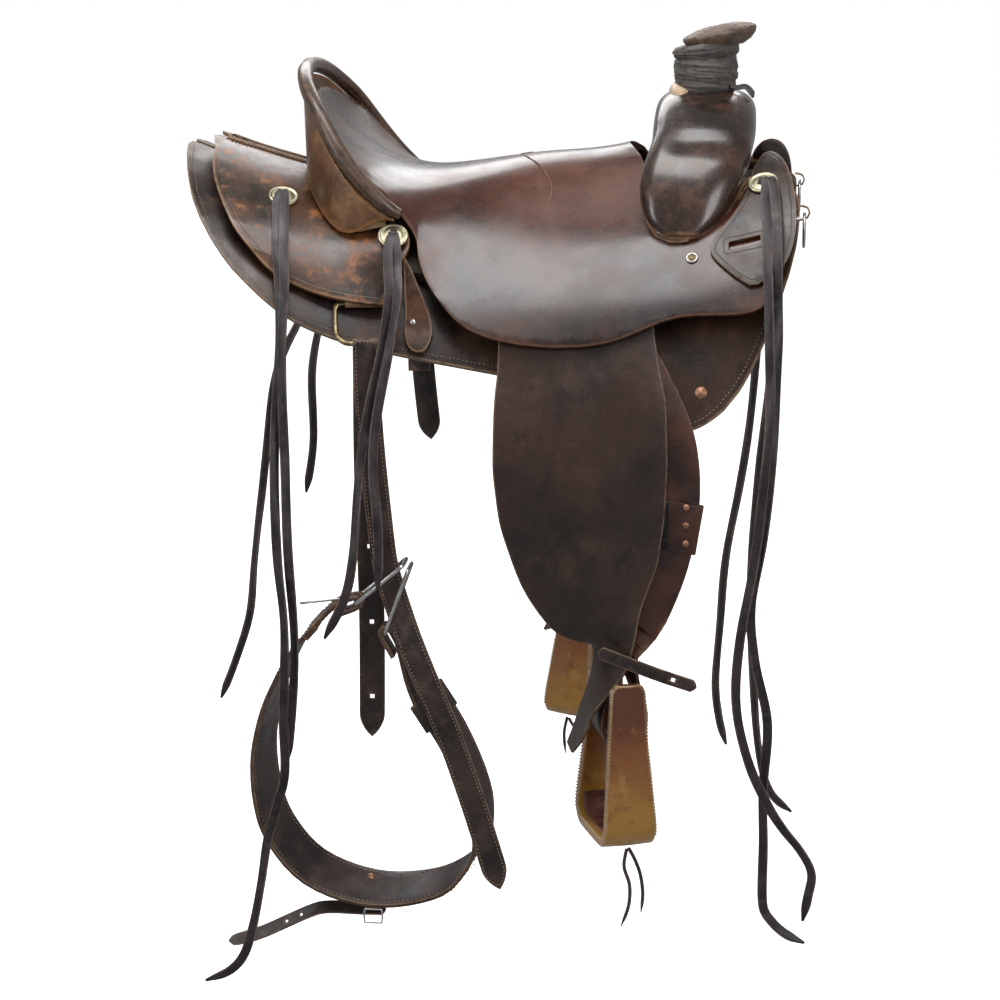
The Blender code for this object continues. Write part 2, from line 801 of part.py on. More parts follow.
CONCHOS = (  # name, x, degrees, lift of the face under it
    ("rear", -0.258, 25.8, 0.0232),
    ("middle", -0.121, 35.2, 0.0475),
    ("front", 0.3030, 25.0, KEEPER_LIFT + KEEPER_THICK + 0.0012),
)
TAB_FOLD = (0.3475, 34.0)
RING_RADIUS, RING_WIRE = 0.0195, 0.0016


def make_fittings():
    for side, word in SIDES:
        for which, x, degrees, lift in CONCHOS:
            rim = CONCHO_THICK * 0.4
            profile = [(0, 0), (CONCHO_RADIUS, 0), (CONCHO_RADIUS, rim)]
            profile += [(CONCHO_RADIUS * 0.8, CONCHO_THICK), (0, CONCHO_THICK)]
            place = barrel_place(x, degrees, lift, side)
            finish(f"concho_{which}_{word}", turned(bmesh.new(), profile, place, 20), "nickel")

        # Breast-collar tab: a strap end folded back under the keeper, with the ring in its fold.
        place = barrel_place(*TAB_FOLD, 0.0315, side)
        bend_radius, run = 0.0078, 0.016
        path = [(-run, -bend_radius), (-run / 2, -bend_radius), (0, -bend_radius)]
        for k in range(1, 5):
            turn = math.pi * k / 4
            path.append((bend_radius * math.sin(turn), -bend_radius * math.cos(turn)))
        path += [(-0.004, bend_radius)]
        start = [place @ Vector((-run * side, 0, -bend_radius))]
        path = start + [place.translation + Vector((u, 0, h)) for u, h in path[1:]]
        level = Vector((0, side, 0))
        across = [place.col[1].to_3d(), place.col[1].to_3d().lerp(level, 0.7)] + [level] * (len(path) - 2)
        widths = [0.020, 0.013, 0.008] + [0.008] * 4 + [0.008]
        finish("breast_tab_" + word, strap(path, across, widths, 0.002, 1), "strap_leather")
        top = ring_top(side)
        points = []
        for k in range(28):
            turn = 2 * math.pi * k / 28
            spot = Vector((0, RING_RADIUS * math.sin(turn), RING_RADIUS * (math.cos(turn) - 1)))
            points.append(top + spot)
        wire("breast_ring_" + word, points, RING_WIRE, "steel", closed=True, resolution=1, pivot=top)


def ring_top(side):
    """The ring's top, inside the tab's fold and towards its closed end."""
    return on_barrel(*TAB_FOLD, 0.0315, side) + Vector((0.002, 0, -0.0004))


# Fenders, stirrup leathers and stirrups. Paths are for the left side; the right side mirrors them.


def forward_axis(side):
    """The leathers' axis, square to the bar: a positive turn swings the stirrup forward."""
    return barrel_place(*SWING_AT, 0.02, side).col[2].to_3d() * -side


def hung(bm, side):
    """Mirrors a left-side mesh to its side and sets the left one back to where it hangs."""
    if side == RIGHT:
        bmesh.ops.scale(bm, vec=(1, -1, 1), verts=bm.verts[:])
        bmesh.ops.reverse_faces(bm, faces=bm.faces[:])
        return bm
    bmesh.ops.transform(bm, matrix=left_swing(), verts=bm.verts[:])
    return bm


def left_swing():
    centre = Matrix.Translation(on_barrel(*SWING_AT, 0.02, LEFT))
    turn = Matrix.Rotation(LEFT_SWING, 4, forward_axis(LEFT))
    return Matrix.Translation((LEFT_BACK, 0, 0.0)) @ centre @ turn @ centre.inverted()


def side_point(point, side):
    """Where a left-side point of the leathers lies on either side."""
    if side == RIGHT:
        return Vector((point[0], -point[1], point[2]))
    return left_swing() @ Vector(point)


FENDER_TOP = ((0.094, 46, 0.0288), (0.095, 52, 0.0275), (0.097, 58, 0.0235), (0.099, 64, 0.0205))
FENDER_FALL = (  # the free part of its centre line: x, y, z
    (0.103, 0.2840, -0.262),
    (0.107, 0.2850, -0.325),
    (0.114, 0.2850, -0.390),
    (0.126, 0.2820, -0.440),
    (0.139, 0.2750, -0.480),
    (0.126, 0.2620, -0.522),
    (0.112, 0.2570, -0.552),
    (0.102, 0.2550, -0.582),
    (0.090, 0.2540, -0.606),
)
FENDER_PATH = [on_barrel(*spot, LEFT) for spot in FENDER_TOP] + list(FENDER_FALL)
FENDER_LEVEL = [barrel_place(*spot, LEFT).col[0].to_3d() for spot in FENDER_TOP]
ACROSS_BOLT = (math.sin(BOLT_YAW), math.cos(BOLT_YAW), 0)
FENDER_ACROSS = FENDER_LEVEL + [(1, 0, 0)] * 4 + [(0.85, 0.5, 0), (0.55, 0.83, 0)] + [ACROSS_BOLT] * 3
FENDER_LEFT_EDGE = (0.088, 0.090, 0.092, 0.097, 0.102, 0.098, 0.081, 0.058, 0.027, 0.025, 0.024, 0.022, 0.013)
FENDER_RIGHT_EDGE = (0.084, 0.088, 0.092, 0.099, 0.098, 0.092, 0.078, 0.050, 0.027, 0.025, 0.024, 0.022, 0.013)


def fender_sheet():
    """The fender as rings across its centre line, bent a little round the rider's leg."""
    per_span = 3
    line = spline(FENDER_PATH, per_span)
    spans = len(FENDER_PATH) - 1
    rings = []
    for i, point in enumerate(line):
        at = min(i / per_span, spans)
        k = min(int(at), spans - 1)
        part = at - k
        across = Vector(FENDER_ACROSS[k]) * (1 - part) + Vector(FENDER_ACROSS[k + 1]) * part
        ahead = (line[min(i + 1, len(line) - 1)] - line[max(i - 1, 0)]).normalized()
        across = (across - ahead * across.dot(ahead)).normalized()
        out = across.cross(ahead).normalized()
        if out.y < 0 and i < 15:
            out = -out
        left = FENDER_LEFT_EDGE[k] * (1 - part) + FENDER_LEFT_EDGE[k + 1] * part
        right = FENDER_RIGHT_EDGE[k] * (1 - part) + FENDER_RIGHT_EDGE[k + 1] * part
        shares = (-1, -0.5, 0, 0.5, 1)
        front, back = [], []
        for share in shares:
            reach = share * (right if share > 0 else left)
            curl = -0.25 * reach * reach if left > 0.04 else 0.0
            spot = point + across * reach + out * curl
            front.append(spot + out * FENDER_THICK / 2)
            back.append(spot - out * FENDER_THICK / 2)
        rings.append(front + back[::-1])
    return loft(bmesh.new(), rings)


LEATHER_TOP = (
    (0.115, 29, 0.0190),
    (0.116, 36, 0.0200),
    (0.120, 43, 0.0205),
    (0.134, 50, 0.0190),
    (0.158, 57, 0.0140),
    (0.182, 64, 0.0095),
)
LEATHER_FALL = (
    (0.199, 0.2715, -0.240),
    (0.204, 0.2735, -0.300),
    (0.193, 0.2730, -0.372),
    (0.170, 0.2690, -0.435),
    (0.152, 0.2600, -0.482),
    (0.162, 0.2530, -0.520),
    (0.172, 0.2500, -0.556),
    (0.166, 0.2500, -0.590),
    (0.1435, 0.2500, -0.600),
    (0.123, 0.2500, -0.584),
    (0.123, 0.2500, -0.554),
    (0.134, 0.2500, -0.528),
)
LEATHER_PATH = [on_barrel(*spot, LEFT) for spot in LEATHER_TOP] + [Vector(p) for p in LEATHER_FALL]
LEATHER_ACROSS = [barrel_place(*spot, LEFT).col[0].to_3d() for spot in LEATHER_TOP] + [(1, 0, 0)] * 2 + [(0.96, 0, -0.28)] * 2
LEATHER_ACROSS += [(0.62, 0.78, 0)] + [ACROSS_BOLT] * 7
LEATHER_WIDTHS = [0.068] * 10 + [0.054] + [0.050] * 7
SLEEVE_STATION = 7


def make_leathers():
    for side, word in SIDES:
        pivot = side_point(on_barrel(*SWING_AT, 0.02, LEFT), side)
        finish("fender_" + word, hung(fender_sheet(), side), "fender_leather", pivot)
        bm = strap(LEATHER_PATH, LEATHER_ACROSS, LEATHER_WIDTHS, LEATHER_THICK, 3)
        finish("stirrup_leather_" + word, hung(bm, side), "strap_leather", pivot)

        # Quick-change buckle: a flat sleeve round the stirrup leather, behind the fender.
        place = sleeve_place()
        rings = []
        for end in (-0.029, 0.029):
            for half_u, half_h in ((0.0390, 0.0044), (0.0370, 0.0026)):
                ring = [(-half_u, -half_h), (half_u, -half_h), (half_u, half_h), (-half_u, half_h)]
                rings.append([place @ Vector((u, end, h)) for u, h in ring])
        rings = [rings[0], rings[2], rings[3], rings[1]]
        bm = loft(bmesh.new(), rings, joined=True)
        finish("buckle_sleeve_" + word, hung(bm, side), "strap_leather", pivot)

        # Hobble strap round the neck of the fender and leather.
        path = ((0.124, 0.291, -0.478), (0.150, 0.294, -0.486), (0.180, 0.294, -0.498), (0.238, 0.292, -0.517))
        bm = bent_strap(path, [(0.25, 0, 1)] * 4, 0.015, 0.003, 0.03, (0.004, 0.006), (0.092,), 0.0045)
        finish("hobble_strap_" + word, hung(bm, side), "strap_leather", pivot)


def sleeve_place():
    """The sleeve's own axes on the straight run of the stirrup leather."""
    top, low = LEATHER_PATH[SLEEVE_STATION], LEATHER_PATH[SLEEVE_STATION + 1]
    centre = top.lerp(low, 0.42)
    down = (low - top).normalized()
    across = (Vector((1, 0, 0)) - down * down.x).normalized()
    out = across.cross(down)
    matrix = Matrix((across, down, out)).transposed().to_4x4()
    matrix.translation = centre
    return matrix


def stirrup_local(side):
    """The stirrup's own axes: X along its bolt towards the rider's outer side, Z up."""
    matrix = Matrix.Translation(BOLT_CENTRE) @ Matrix.Rotation(math.pi / 2 - BOLT_YAW, 4, "Z")
    return matrix


def stirrup_body():
    """A bell-shaped bow: two wide plates that meet the tread in round corners. Open between them."""
    half, low = STIRRUP_SPAN / 2, -0.124
    top = STIRRUP_HEIGHT + low
    run = []
    run.append((-half * 0.76, top, STIRRUP_WIDTH * 0.22))
    run.append((-half * 0.765, top - 0.007, STIRRUP_WIDTH * 0.32))
    run.append((-half * 0.78, 0.0, STIRRUP_WIDTH * 0.38))
    run.append((-half * 0.94, low * 0.5, STIRRUP_WIDTH * 0.45))
    for k in range(5):
        turn = math.pi / 2 * k / 4
        corner = 0.026
        run.append((-half + corner * (1 - math.cos(turn)), low + corner * (1 - math.sin(turn)), STIRRUP_WIDTH * 0.5))
    run += [(-x, z, w) for x, z, w in reversed(run)]
    rings = []
    for i, (x, z, w) in enumerate(run):
        a, b = run[max(i - 1, 0)], run[min(i + 1, len(run) - 1)]
        ahead = Vector((b[0] - a[0], 0, b[1] - a[1])).normalized()
        inward = Vector((-ahead.z, 0, ahead.x))
        outer = Vector((x, 0, z))
        inner = outer + inward * STIRRUP_WALL
        bulge = outer - inward * 0.0015
        rings.append(
            [
                outer + Vector((0, -w, 0)),
                bulge,
                outer + Vector((0, w, 0)),
                inner + Vector((0, w, 0)),
                inner,
                inner + Vector((0, -w, 0)),
            ]
        )
    return loft(bmesh.new(), rings)


def make_stirrups():
    for side, word in SIDES:
        pivot = side_point(BOLT_CENTRE, side)
        body = stirrup_body()
        bmesh.ops.transform(body, matrix=stirrup_local(side), verts=body.verts[:])
        finish("stirrup_" + word, hung(body, side), "stirrup_rawhide", pivot)

        reach = STIRRUP_SPAN / 2 * 0.78 - STIRRUP_WALL - 0.0010
        profile = [(0, -reach), (BOLT_RADIUS, -reach), (BOLT_RADIUS, reach), (0, reach)]
        place = stirrup_local(side) @ Matrix.Rotation(math.pi / 2, 4, "Y")
        bolt = turned(bmesh.new(), profile, place, 14)
        finish("stirrup_bolt_" + word, hung(bolt, side), "steel", pivot)


# Flank cinch and its billets. The right side carries the cinch, hung up by both its buckles.

BILLET_WIDTH, BILLET_THICK = 0.030, 0.003
BUCKLE_WIRE, TONGUE_WIRE, BUCKLE_HALF = 0.0025, 0.0015, 0.021
BUCKLE_Y, BELT_NEAR_Y = -0.272, -0.291
FREE_BUCKLE = ((-0.101, -0.381), (-0.158, -0.429))  # x, z of its far bar and of its tongue bar
HUNG_BUCKLE = ((-0.095, -0.386), (-0.123, -0.464))
BELT_WIDTH, BELT_THICK, BELT_TILT = 0.064, 0.005, (0.30, 1.0, 0.34)
FOLD_WIDTH, FOLD_SLOT = 0.028, 0.009
BELT_EDGE = (  # x, z of the belt's near edge from the free buckle round to the hung one
    (-0.200, -0.452),
    (-0.235, -0.492),
    (-0.268, -0.560),
    (-0.282, -0.635),
    (-0.270, -0.710),
    (-0.224, -0.772),
    (-0.140, -0.798),
    (-0.058, -0.780),
    (-0.022, -0.735),
    (-0.026, -0.672),
    (-0.058, -0.598),
    (-0.098, -0.535),
)


def arch(pivot, out, loop, steps=4):
    """Half a turn over a level bar, from the side away from out to the side towards it."""
    points = []
    for k in range(steps + 1):
        turn = math.pi * k / steps
        points.append(pivot - out * loop * math.cos(turn) + Vector((0, 0, loop * math.sin(turn))))
    return points


def make_billets():
    for side, word in SIDES:
        pivot = billet_pivot(side)
        level = dee_place(side).col[0].to_3d()
        out = level.cross(Vector((0, 0, 1)))
        out *= 1 if out.y * side > 0 else -1
        loop = DEE_WIRE + GAP + BILLET_THICK / 2
        inner_top, outer_top = pivot - out * loop, pivot + out * loop
        inner_y = inner_top.y
        drop = Vector((0, 0, -0.012))
        if side == RIGHT:
            inner = ((-0.145, inner_y, -0.602), (-0.144, inner_y, -0.450), (-0.148, inner_y, -0.280))
            outer = (
                (-0.140, -0.260, -0.250),
                (-0.130, -0.268, -0.340),
                (-0.124, -0.271, -0.385),
                (-0.111, -0.276, -0.428),
                (-0.094, -0.290, -0.470),
                (-0.075, -0.2965, -0.515),
                (-0.046, -0.2975, -0.585),
                (-0.014, -0.2985, -0.680),
                (0.012, -0.2985, -0.768),
            )
            tips, holes = (0.022, 0.022), (0.050, 0.141, 0.232)
        else:
            inner = ((-0.146, inner_y, -0.250),)
            outer = ((-0.142, outer_top.y, -0.250), (-0.132, outer_top.y, -0.345))
            tips, holes = (0.0, 0.020), ()
        path = [Vector(p) for p in inner] + [inner_top + drop * 3, inner_top + drop]
        path += arch(pivot, out, loop) + [outer_top + drop, outer_top + drop * 3]
        path += [Vector(p) for p in outer]
        across = [Vector((1, 0, 0))] * len(inner) + [level] * 9 + [Vector((1, 0, 0))] * len(outer)
        bm = bent_strap(path, across, BILLET_WIDTH, BILLET_THICK, 0.03, tips, holes)
        finish("flank_billet_" + word, bm, "strap_leather", pivot)


def buckle_bar(ends, which):
    return Vector((ends[which][0], BUCKLE_Y, ends[which][1]))


def buckle_points(ends):
    """A rounded rectangle of wire whose two long bars lie along Y."""
    far, near_ = buckle_bar(ends, 0), buckle_bar(ends, 1)
    down = (near_ - far).normalized()
    length = (near_ - far).length
    points, corner = [], 0.006
    for u, v, start in ((1, 1, 0), (-1, 1, 1), (-1, -1, 2), (1, -1, 3)):
        for k in range(4):
            turn = math.pi / 2 * (start + k / 3)
            y = u * (BUCKLE_HALF - corner) + corner * math.cos(turn)
            run = length / 2 + v * (length / 2 - corner) + corner * math.sin(turn)
            points.append(far + down * run + Vector((0, y, 0)))
    return points


def tongue_points(ends, tip):
    """A tongue whose eye goes round the near bar and whose rod runs out to the tip."""
    bar = buckle_bar(ends, 1)
    reach = BUCKLE_WIRE + GAP + TONGUE_WIRE
    rod = Vector((tip[0] - bar.x, 0, tip[1] - bar.z)).normalized()
    square = Vector((rod.z, 0, -rod.x))
    points = []
    for k in range(9):
        turn = math.radians(-200 + 200 * k / 8)
        points.append(bar + square * reach * math.cos(turn) + rod * reach * math.sin(turn))
    start = points[-1]
    length = (Vector((tip[0], bar.y, tip[1])) - bar).length
    points += [start + rod * length * share for share in (0.25, 0.5, 0.75, 1.0)]
    return points


def belt_path():
    """The belt's centre line: in from each fold, half round its bar, and away along the loop."""
    tilt = Vector(BELT_TILT).normalized()
    middle = []
    for x, z in BELT_EDGE:
        middle.append(Vector((x, BELT_NEAR_Y, z)) + tilt * BELT_WIDTH / 2)
    loop = BUCKLE_WIRE + GAP + BELT_THICK / 2 + 0.0012
    parts = []
    for ends, towards in ((FREE_BUCKLE, middle[0]), (HUNG_BUCKLE, middle[-1])):
        bar = buckle_bar(ends, 1)
        away = (Vector((towards.x, bar.y, towards.z)) - bar).normalized()
        out = Vector((away.z, 0, -away.x))
        if out.dot(Vector((-0.15, 0, -0.62)) - Vector((bar.x, 0, bar.z))) < 0:
            out = -out
        fold = [bar + away * 0.030 + out * loop, bar + away * 0.015 + out * loop]
        for k in range(5):
            turn = math.pi * k / 4
            fold.append(bar + out * loop * math.cos(turn) - away * loop * math.sin(turn))
        fold += [bar + away * 0.015 - out * loop]
        parts.append(fold)
    count = len(parts[0])
    path = parts[0] + middle + parts[1][::-1]
    across = [Vector((0, 1, 0))] * count + [tilt] * len(middle) + [Vector((0, 1, 0))] * count
    return path, across


def make_cinch():
    path, across = belt_path()
    place, length, knots = along(path, across, 4)
    bar_run = 0.030 + (BUCKLE_WIRE + GAP + BELT_THICK / 2) * math.pi / 2
    neck, full = 0.062, 0.150
    half, fold = BELT_WIDTH / 2, FOLD_WIDTH / 2
    side = [(0.0, fold), (neck, fold), (full, half), (length - full, half), (length - neck, fold)]
    side += [(length, fold)]
    outline = side + [(u, -v) for u, v in reversed(side)]
    slots = []
    for at in (bar_run, length - bar_run):
        inward = 0.016 if at < length / 2 else -0.016
        low, high = sorted((at - inward, at + inward * 2.5))
        slots.append((low, high, -FOLD_SLOT / 2, FOLD_SLOT / 2))
    bm = flat_sheet(outline, -BELT_THICK / 2, BELT_THICK / 2, 0.03, 0.034, slots, knots[1:-1])
    pivot = billet_pivot(RIGHT)
    finish("flank_cinch", bend(bm, place), "strap_leather", pivot)

    for word, ends in (("free", FREE_BUCKLE), ("hung", HUNG_BUCKLE)):
        ring = buckle_points(ends)
        wire("cinch_buckle_" + word, ring, BUCKLE_WIRE, "steel", closed=True, resolution=1, pivot=pivot)
    tongue = tongue_points(FREE_BUCKLE, (-0.224, -0.438))
    hinge = buckle_bar(FREE_BUCKLE, 1)
    wire("cinch_tongue_free", tongue, TONGUE_WIRE, "steel", resolution=1, pivot=hinge)

    # Connecting strap, riveted below the belt's lowest point.
    path = ((-0.128, -0.262, -0.8125), (-0.165, -0.262, -0.812), (-0.205, -0.262, -0.812))
    path += ((-0.245, -0.262, -0.830), (-0.285, -0.262, -0.850), (-0.320, -0.262, -0.860))
    turned_edge = [(0, 0.9, 0.45)] + [(0.0, 0.6, 0.8)] * 5
    bm = bent_strap(path, turned_edge, 0.016, 0.003, 0.03, (0.004, 0.008), (0.105, 0.125), 0.0035)
    finish("connecting_strap", bm, "strap_leather", pivot)


# Saddle strings: one thong each, tied through its concho, with two tails that hang free.
# A route runs from one tip over the jockey to the concho and down to the other tip. Points with
# degrees lie on the barrel, and the others hang free at (x, distance out, z).

REAR_OVER = ((-0.242, 50, 0.0270), (-0.246, 43, 0.031), (-0.251, 34, 0.0340), (-0.2545, 29, 0.035))
REAR_UNDER = ((-0.2635, 29.5, 0.0300), (-0.2605, 34, 0.0270), (-0.2550, 43, 0.0235), (-0.250, 50, 0.0180))
MIDDLE_OVER = ((-0.113, 43, 0.0520), (-0.116, 39, 0.0570))
MIDDLE_UNDER = ((-0.1245, 39, 0.0570), (-0.1235, 43, 0.0530))
FRONT_OVER = ((0.3085, 46, 0.0500), (0.3075, 38, 0.0530), (0.3045, 30, 0.0530))
FRONT_UNDER = ((0.3140, 29, 0.0530), (0.3180, 38, 0.0530), (0.3195, 46, 0.0480))
REAR_KNOT, MIDDLE_KNOT, FRONT_KNOT = (-0.2590, 26.3, 0.0350), (-0.1205, 36.0, 0.0575), (0.3085, 26, 0.0545)

TAILS = {
    "rear_right": (
        ((-0.236, 0.308, -0.618), (-0.231, 0.308, -0.561), (-0.227, 0.308, -0.476), (-0.231, 0.307, -0.373))
        + ((-0.235, 0.291, -0.271), (-0.241, 0.277, -0.192), (-0.242, 0.266, -0.120)),
        ((-0.247, 0.2545, -0.128), (-0.249, 0.266, -0.194), (-0.248, 0.288, -0.272), (-0.244, 0.310, -0.373))
        + ((-0.237, 0.317, -0.454), (-0.238, 0.317, -0.558), (-0.237, 0.317, -0.626), (-0.248, 0.317, -0.668))
        + ((-0.261, 0.317, -0.711), (-0.270, 0.317, -0.763), (-0.281, 0.317, -0.820), (-0.292, 0.317, -0.856))
        + ((-0.310, 0.317, -0.877), (-0.338, 0.317, -0.890)),
    ),
    "rear_left": (
        ((-0.308, 0.285, -0.428), (-0.298, 0.285, -0.357), (-0.296, 0.282, -0.257), (-0.276, 0.276, -0.170))
        + ((-0.254, 0.266, -0.112),),
        ((-0.268, 0.2545, -0.120), (-0.310, 0.268, -0.190), (-0.349, 0.278, -0.279), (-0.369, 0.280, -0.439))
        + ((-0.379, 0.280, -0.524), (-0.388, 0.280, -0.598), (-0.410, 0.280, -0.665), (-0.432, 0.280, -0.722)),
    ),
    "middle_right": (
        ((-0.129, 0.313, -0.405), (-0.127, 0.312, -0.369), (-0.128, 0.305, -0.324), (-0.133, 0.296, -0.268))
        + ((-0.130, 0.287, -0.212), (-0.118, 0.275, -0.134), (-0.110, 0.262, -0.078)),
        ((-0.120, 0.2535, -0.080), (-0.126, 0.264, -0.135), (-0.138, 0.275, -0.191), (-0.148, 0.285, -0.248))
        + ((-0.154, 0.296, -0.304), (-0.158, 0.306, -0.372), (-0.167, 0.307, -0.419), (-0.190, 0.307, -0.467)),
    ),
    "middle_left": (
        ((-0.086, 0.268, -0.225), (-0.090, 0.268, -0.170), (-0.097, 0.264, -0.120), (-0.104, 0.258, -0.082)),
        ((-0.1145, 0.2500, -0.076), (-0.106, 0.254, -0.118), (-0.100, 0.256, -0.165), (-0.101, 0.257, -0.215)),
    ),
    "front_right": (
        ((0.365, 0.300, -0.795), (0.370, 0.300, -0.764), (0.373, 0.300, -0.736), (0.360, 0.300, -0.710))
        + ((0.339, 0.300, -0.683), (0.321, 0.300, -0.653), (0.299, 0.300, -0.601), (0.284, 0.300, -0.532))
        + ((0.286, 0.300, -0.453), (0.300, 0.300, -0.363), (0.313, 0.298, -0.247), (0.315, 0.285, -0.181))
        + ((0.312, 0.272, -0.127), (0.310, 0.258, -0.078)),
        ((0.321, 0.249, -0.080), (0.323, 0.261, -0.128), (0.321, 0.276, -0.205), (0.316, 0.288, -0.272))
        + ((0.309, 0.290, -0.341), (0.298, 0.290, -0.420), (0.305, 0.290, -0.485), (0.320, 0.290, -0.558))
        + ((0.315, 0.290, -0.639), (0.317, 0.290, -0.705), (0.319, 0.290, -0.776), (0.328, 0.290, -0.797))
        + ((0.346, 0.290, -0.814), (0.369, 0.290, -0.825)),
    ),
    "front_left": (
        ((0.271, 0.280, -0.769), (0.260, 0.280, -0.731), (0.253, 0.280, -0.677), (0.258, 0.280, -0.590))
        + ((0.265, 0.280, -0.509), (0.281, 0.280, -0.413), (0.291, 0.280, -0.329), (0.300, 0.279, -0.220))
        + ((0.306, 0.272, -0.140), (0.309, 0.260, -0.082)),
        ((0.321, 0.251, -0.082), (0.322, 0.262, -0.140), (0.318, 0.268, -0.240), (0.306, 0.268, -0.400))
        + ((0.298, 0.268, -0.564), (0.308, 0.268, -0.705), (0.319, 0.268, -0.791), (0.334, 0.268, -0.835))
        + ((0.361, 0.268, -0.860),),
    ),
}


def evenly(line, step):
    """The same curve with its points spaced evenly, about one step apart."""
    run = [0.0]
    for a, b in zip(line, line[1:]):
        run.append(run[-1] + (b - a).length)
    count = max(2, round(run[-1] / step))
    made, i = [], 0
    for k in range(count + 1):
        want = run[-1] * k / count
        while i < len(run) - 2 and run[i + 1] < want:
            i += 1
        part = (want - run[i]) / (run[i + 1] - run[i])
        made.append(line[i].lerp(line[i + 1], part))
    return made


def make_strings():
    ties = {
        "rear": (REAR_OVER, REAR_KNOT, REAR_UNDER),
        "middle": (MIDDLE_OVER, MIDDLE_KNOT, MIDDLE_UNDER),
        "front": (FRONT_OVER, FRONT_KNOT, FRONT_UNDER),
    }
    for name, (first, second) in TAILS.items():
        which, word = name.split("_")
        side = RIGHT if word == "right" else LEFT
        over, knot, under = ties[which]
        route = [Vector((x, side * out, z)) for x, out, z in first]
        route += [on_barrel(*spot, side) for spot in (*over, knot, *under)]
        route += [Vector((x, side * out, z)) for x, out, z in second]
        points = evenly(spline(route, 8), STRING_STEP)
        wire("string_" + name, points, STRING_RADIUS, "string_leather", resolution=2)


clear_scene()
make_tree()
make_seat()
make_skirts()
make_fittings()
make_leathers()
make_stirrups()
make_billets()
make_cinch()
make_strings()
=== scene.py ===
import bmesh
import bpy
import json
import math
from mathutils import Matrix, Vector, noise
from mathutils.bvhtree import BVHTree
from mathutils.kdtree import KDTree


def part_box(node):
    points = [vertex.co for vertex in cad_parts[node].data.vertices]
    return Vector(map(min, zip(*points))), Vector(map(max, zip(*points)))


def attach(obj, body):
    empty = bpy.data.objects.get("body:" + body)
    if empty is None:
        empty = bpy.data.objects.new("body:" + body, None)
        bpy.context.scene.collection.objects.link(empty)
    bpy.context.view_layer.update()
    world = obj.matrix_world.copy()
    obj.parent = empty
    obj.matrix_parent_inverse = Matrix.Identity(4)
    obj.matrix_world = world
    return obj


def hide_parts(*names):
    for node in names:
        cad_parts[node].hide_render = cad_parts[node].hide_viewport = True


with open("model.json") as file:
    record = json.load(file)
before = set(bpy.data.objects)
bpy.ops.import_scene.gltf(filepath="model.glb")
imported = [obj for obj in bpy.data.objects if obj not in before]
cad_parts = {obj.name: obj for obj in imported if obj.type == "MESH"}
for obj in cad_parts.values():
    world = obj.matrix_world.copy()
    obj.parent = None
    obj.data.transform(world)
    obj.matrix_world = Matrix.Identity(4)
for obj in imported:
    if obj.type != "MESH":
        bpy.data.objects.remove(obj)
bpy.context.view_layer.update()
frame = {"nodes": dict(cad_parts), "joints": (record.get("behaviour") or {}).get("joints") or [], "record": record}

# ---------------------------------------------------------------- studio
# A pale seamless floor, a bright even room and four large soft lamps, with the
# camera on the saddle's right side, looking a little down at it.

camera = bpy.data.objects.new("camera", bpy.data.cameras.new("camera"))
camera.location = (0.2871, -3.2722, 0.3834)
camera.rotation_euler = (math.radians(90 - 12.879), 0, math.radians(5.29))
camera.data.lens = 97.2
camera.data.sensor_width = 36
bpy.context.scene.collection.objects.link(camera)
bpy.context.scene.camera = camera
bpy.context.scene.view_settings.view_transform = "Standard"


def soft_lamp(name, place, aim, size, power):
    """A wide lamp at a place, turned to face its aim."""
    lamp = bpy.data.lights.new(name, "AREA")
    lamp.shape = "RECTANGLE"
    lamp.size, lamp.size_y = size
    lamp.energy = power
    thing = bpy.data.objects.new(name, lamp)
    thing.location = place
    thing.rotation_euler = (Vector(aim) - Vector(place)).to_track_quat("-Z", "Y").to_euler()
    bpy.context.scene.collection.objects.link(thing)


soft_lamp("lamp_overhead", (-0.3, -0.6, 2.4), (0, 0, 0), (2.2, 1.2), 52)
soft_lamp("lamp_front", (1.9, -2.6, 1.3), (0, 0, -0.2), (0.9, 1.8), 28)
soft_lamp("lamp_side", (-2.4, -1.7, 0.9), (0, 0, -0.2), (0.8, 1.8), 20)
soft_lamp("lamp_back", (-0.4, 2.6, 1.6), (0, 0, 0), (2.4, 1.4), 34)

room = bpy.data.worlds.new("room")
room.use_nodes = True
backdrop = room.node_tree.nodes["Background"]
backdrop.inputs["Color"].default_value = (1.0, 1.0, 1.0, 1)
seen = room.node_tree.nodes.new("ShaderNodeLightPath")
brightness = room.node_tree.nodes.new("ShaderNodeMapRange")
brightness.inputs["To Min"].default_value = 0.30
brightness.inputs["To Max"].default_value = 1.0
room.node_tree.links.new(seen.outputs["Is Camera Ray"], brightness.inputs["Value"])
room.node_tree.links.new(brightness.outputs["Result"], backdrop.inputs["Strength"])
bpy.context.scene.world = room

paper = bpy.data.materials.new("studio_paper")
paper.use_nodes = True
paper_shader = paper.node_tree.nodes["Principled BSDF"]
paper_shader.inputs["Base Color"].default_value = (0.93, 0.93, 0.92, 1)
paper_shader.inputs["Roughness"].default_value = 0.9
paper_shader.inputs["Specular IOR Level"].default_value = 0.1
paper_shader.inputs["Emission Color"].default_value = (1, 1, 1, 1)
paper_shader.inputs["Emission Strength"].default_value = 0.9
FLOOR_HEIGHT, FLOOR_REACH = -0.905, 9
bm = bmesh.new()
bmesh.ops.create_grid(
    bm, x_segments=1, y_segments=1, size=FLOOR_REACH, matrix=Matrix.Translation((0, 0, FLOOR_HEIGHT))
)
floor = bpy.data.objects.new("floor", bpy.data.meshes.new("floor"))
bm.to_mesh(floor.data)
bm.free()
floor.data.materials.append(paper)
bpy.context.scene.collection.objects.link(floor)
floor.visible_diffuse = floor.visible_glossy = False

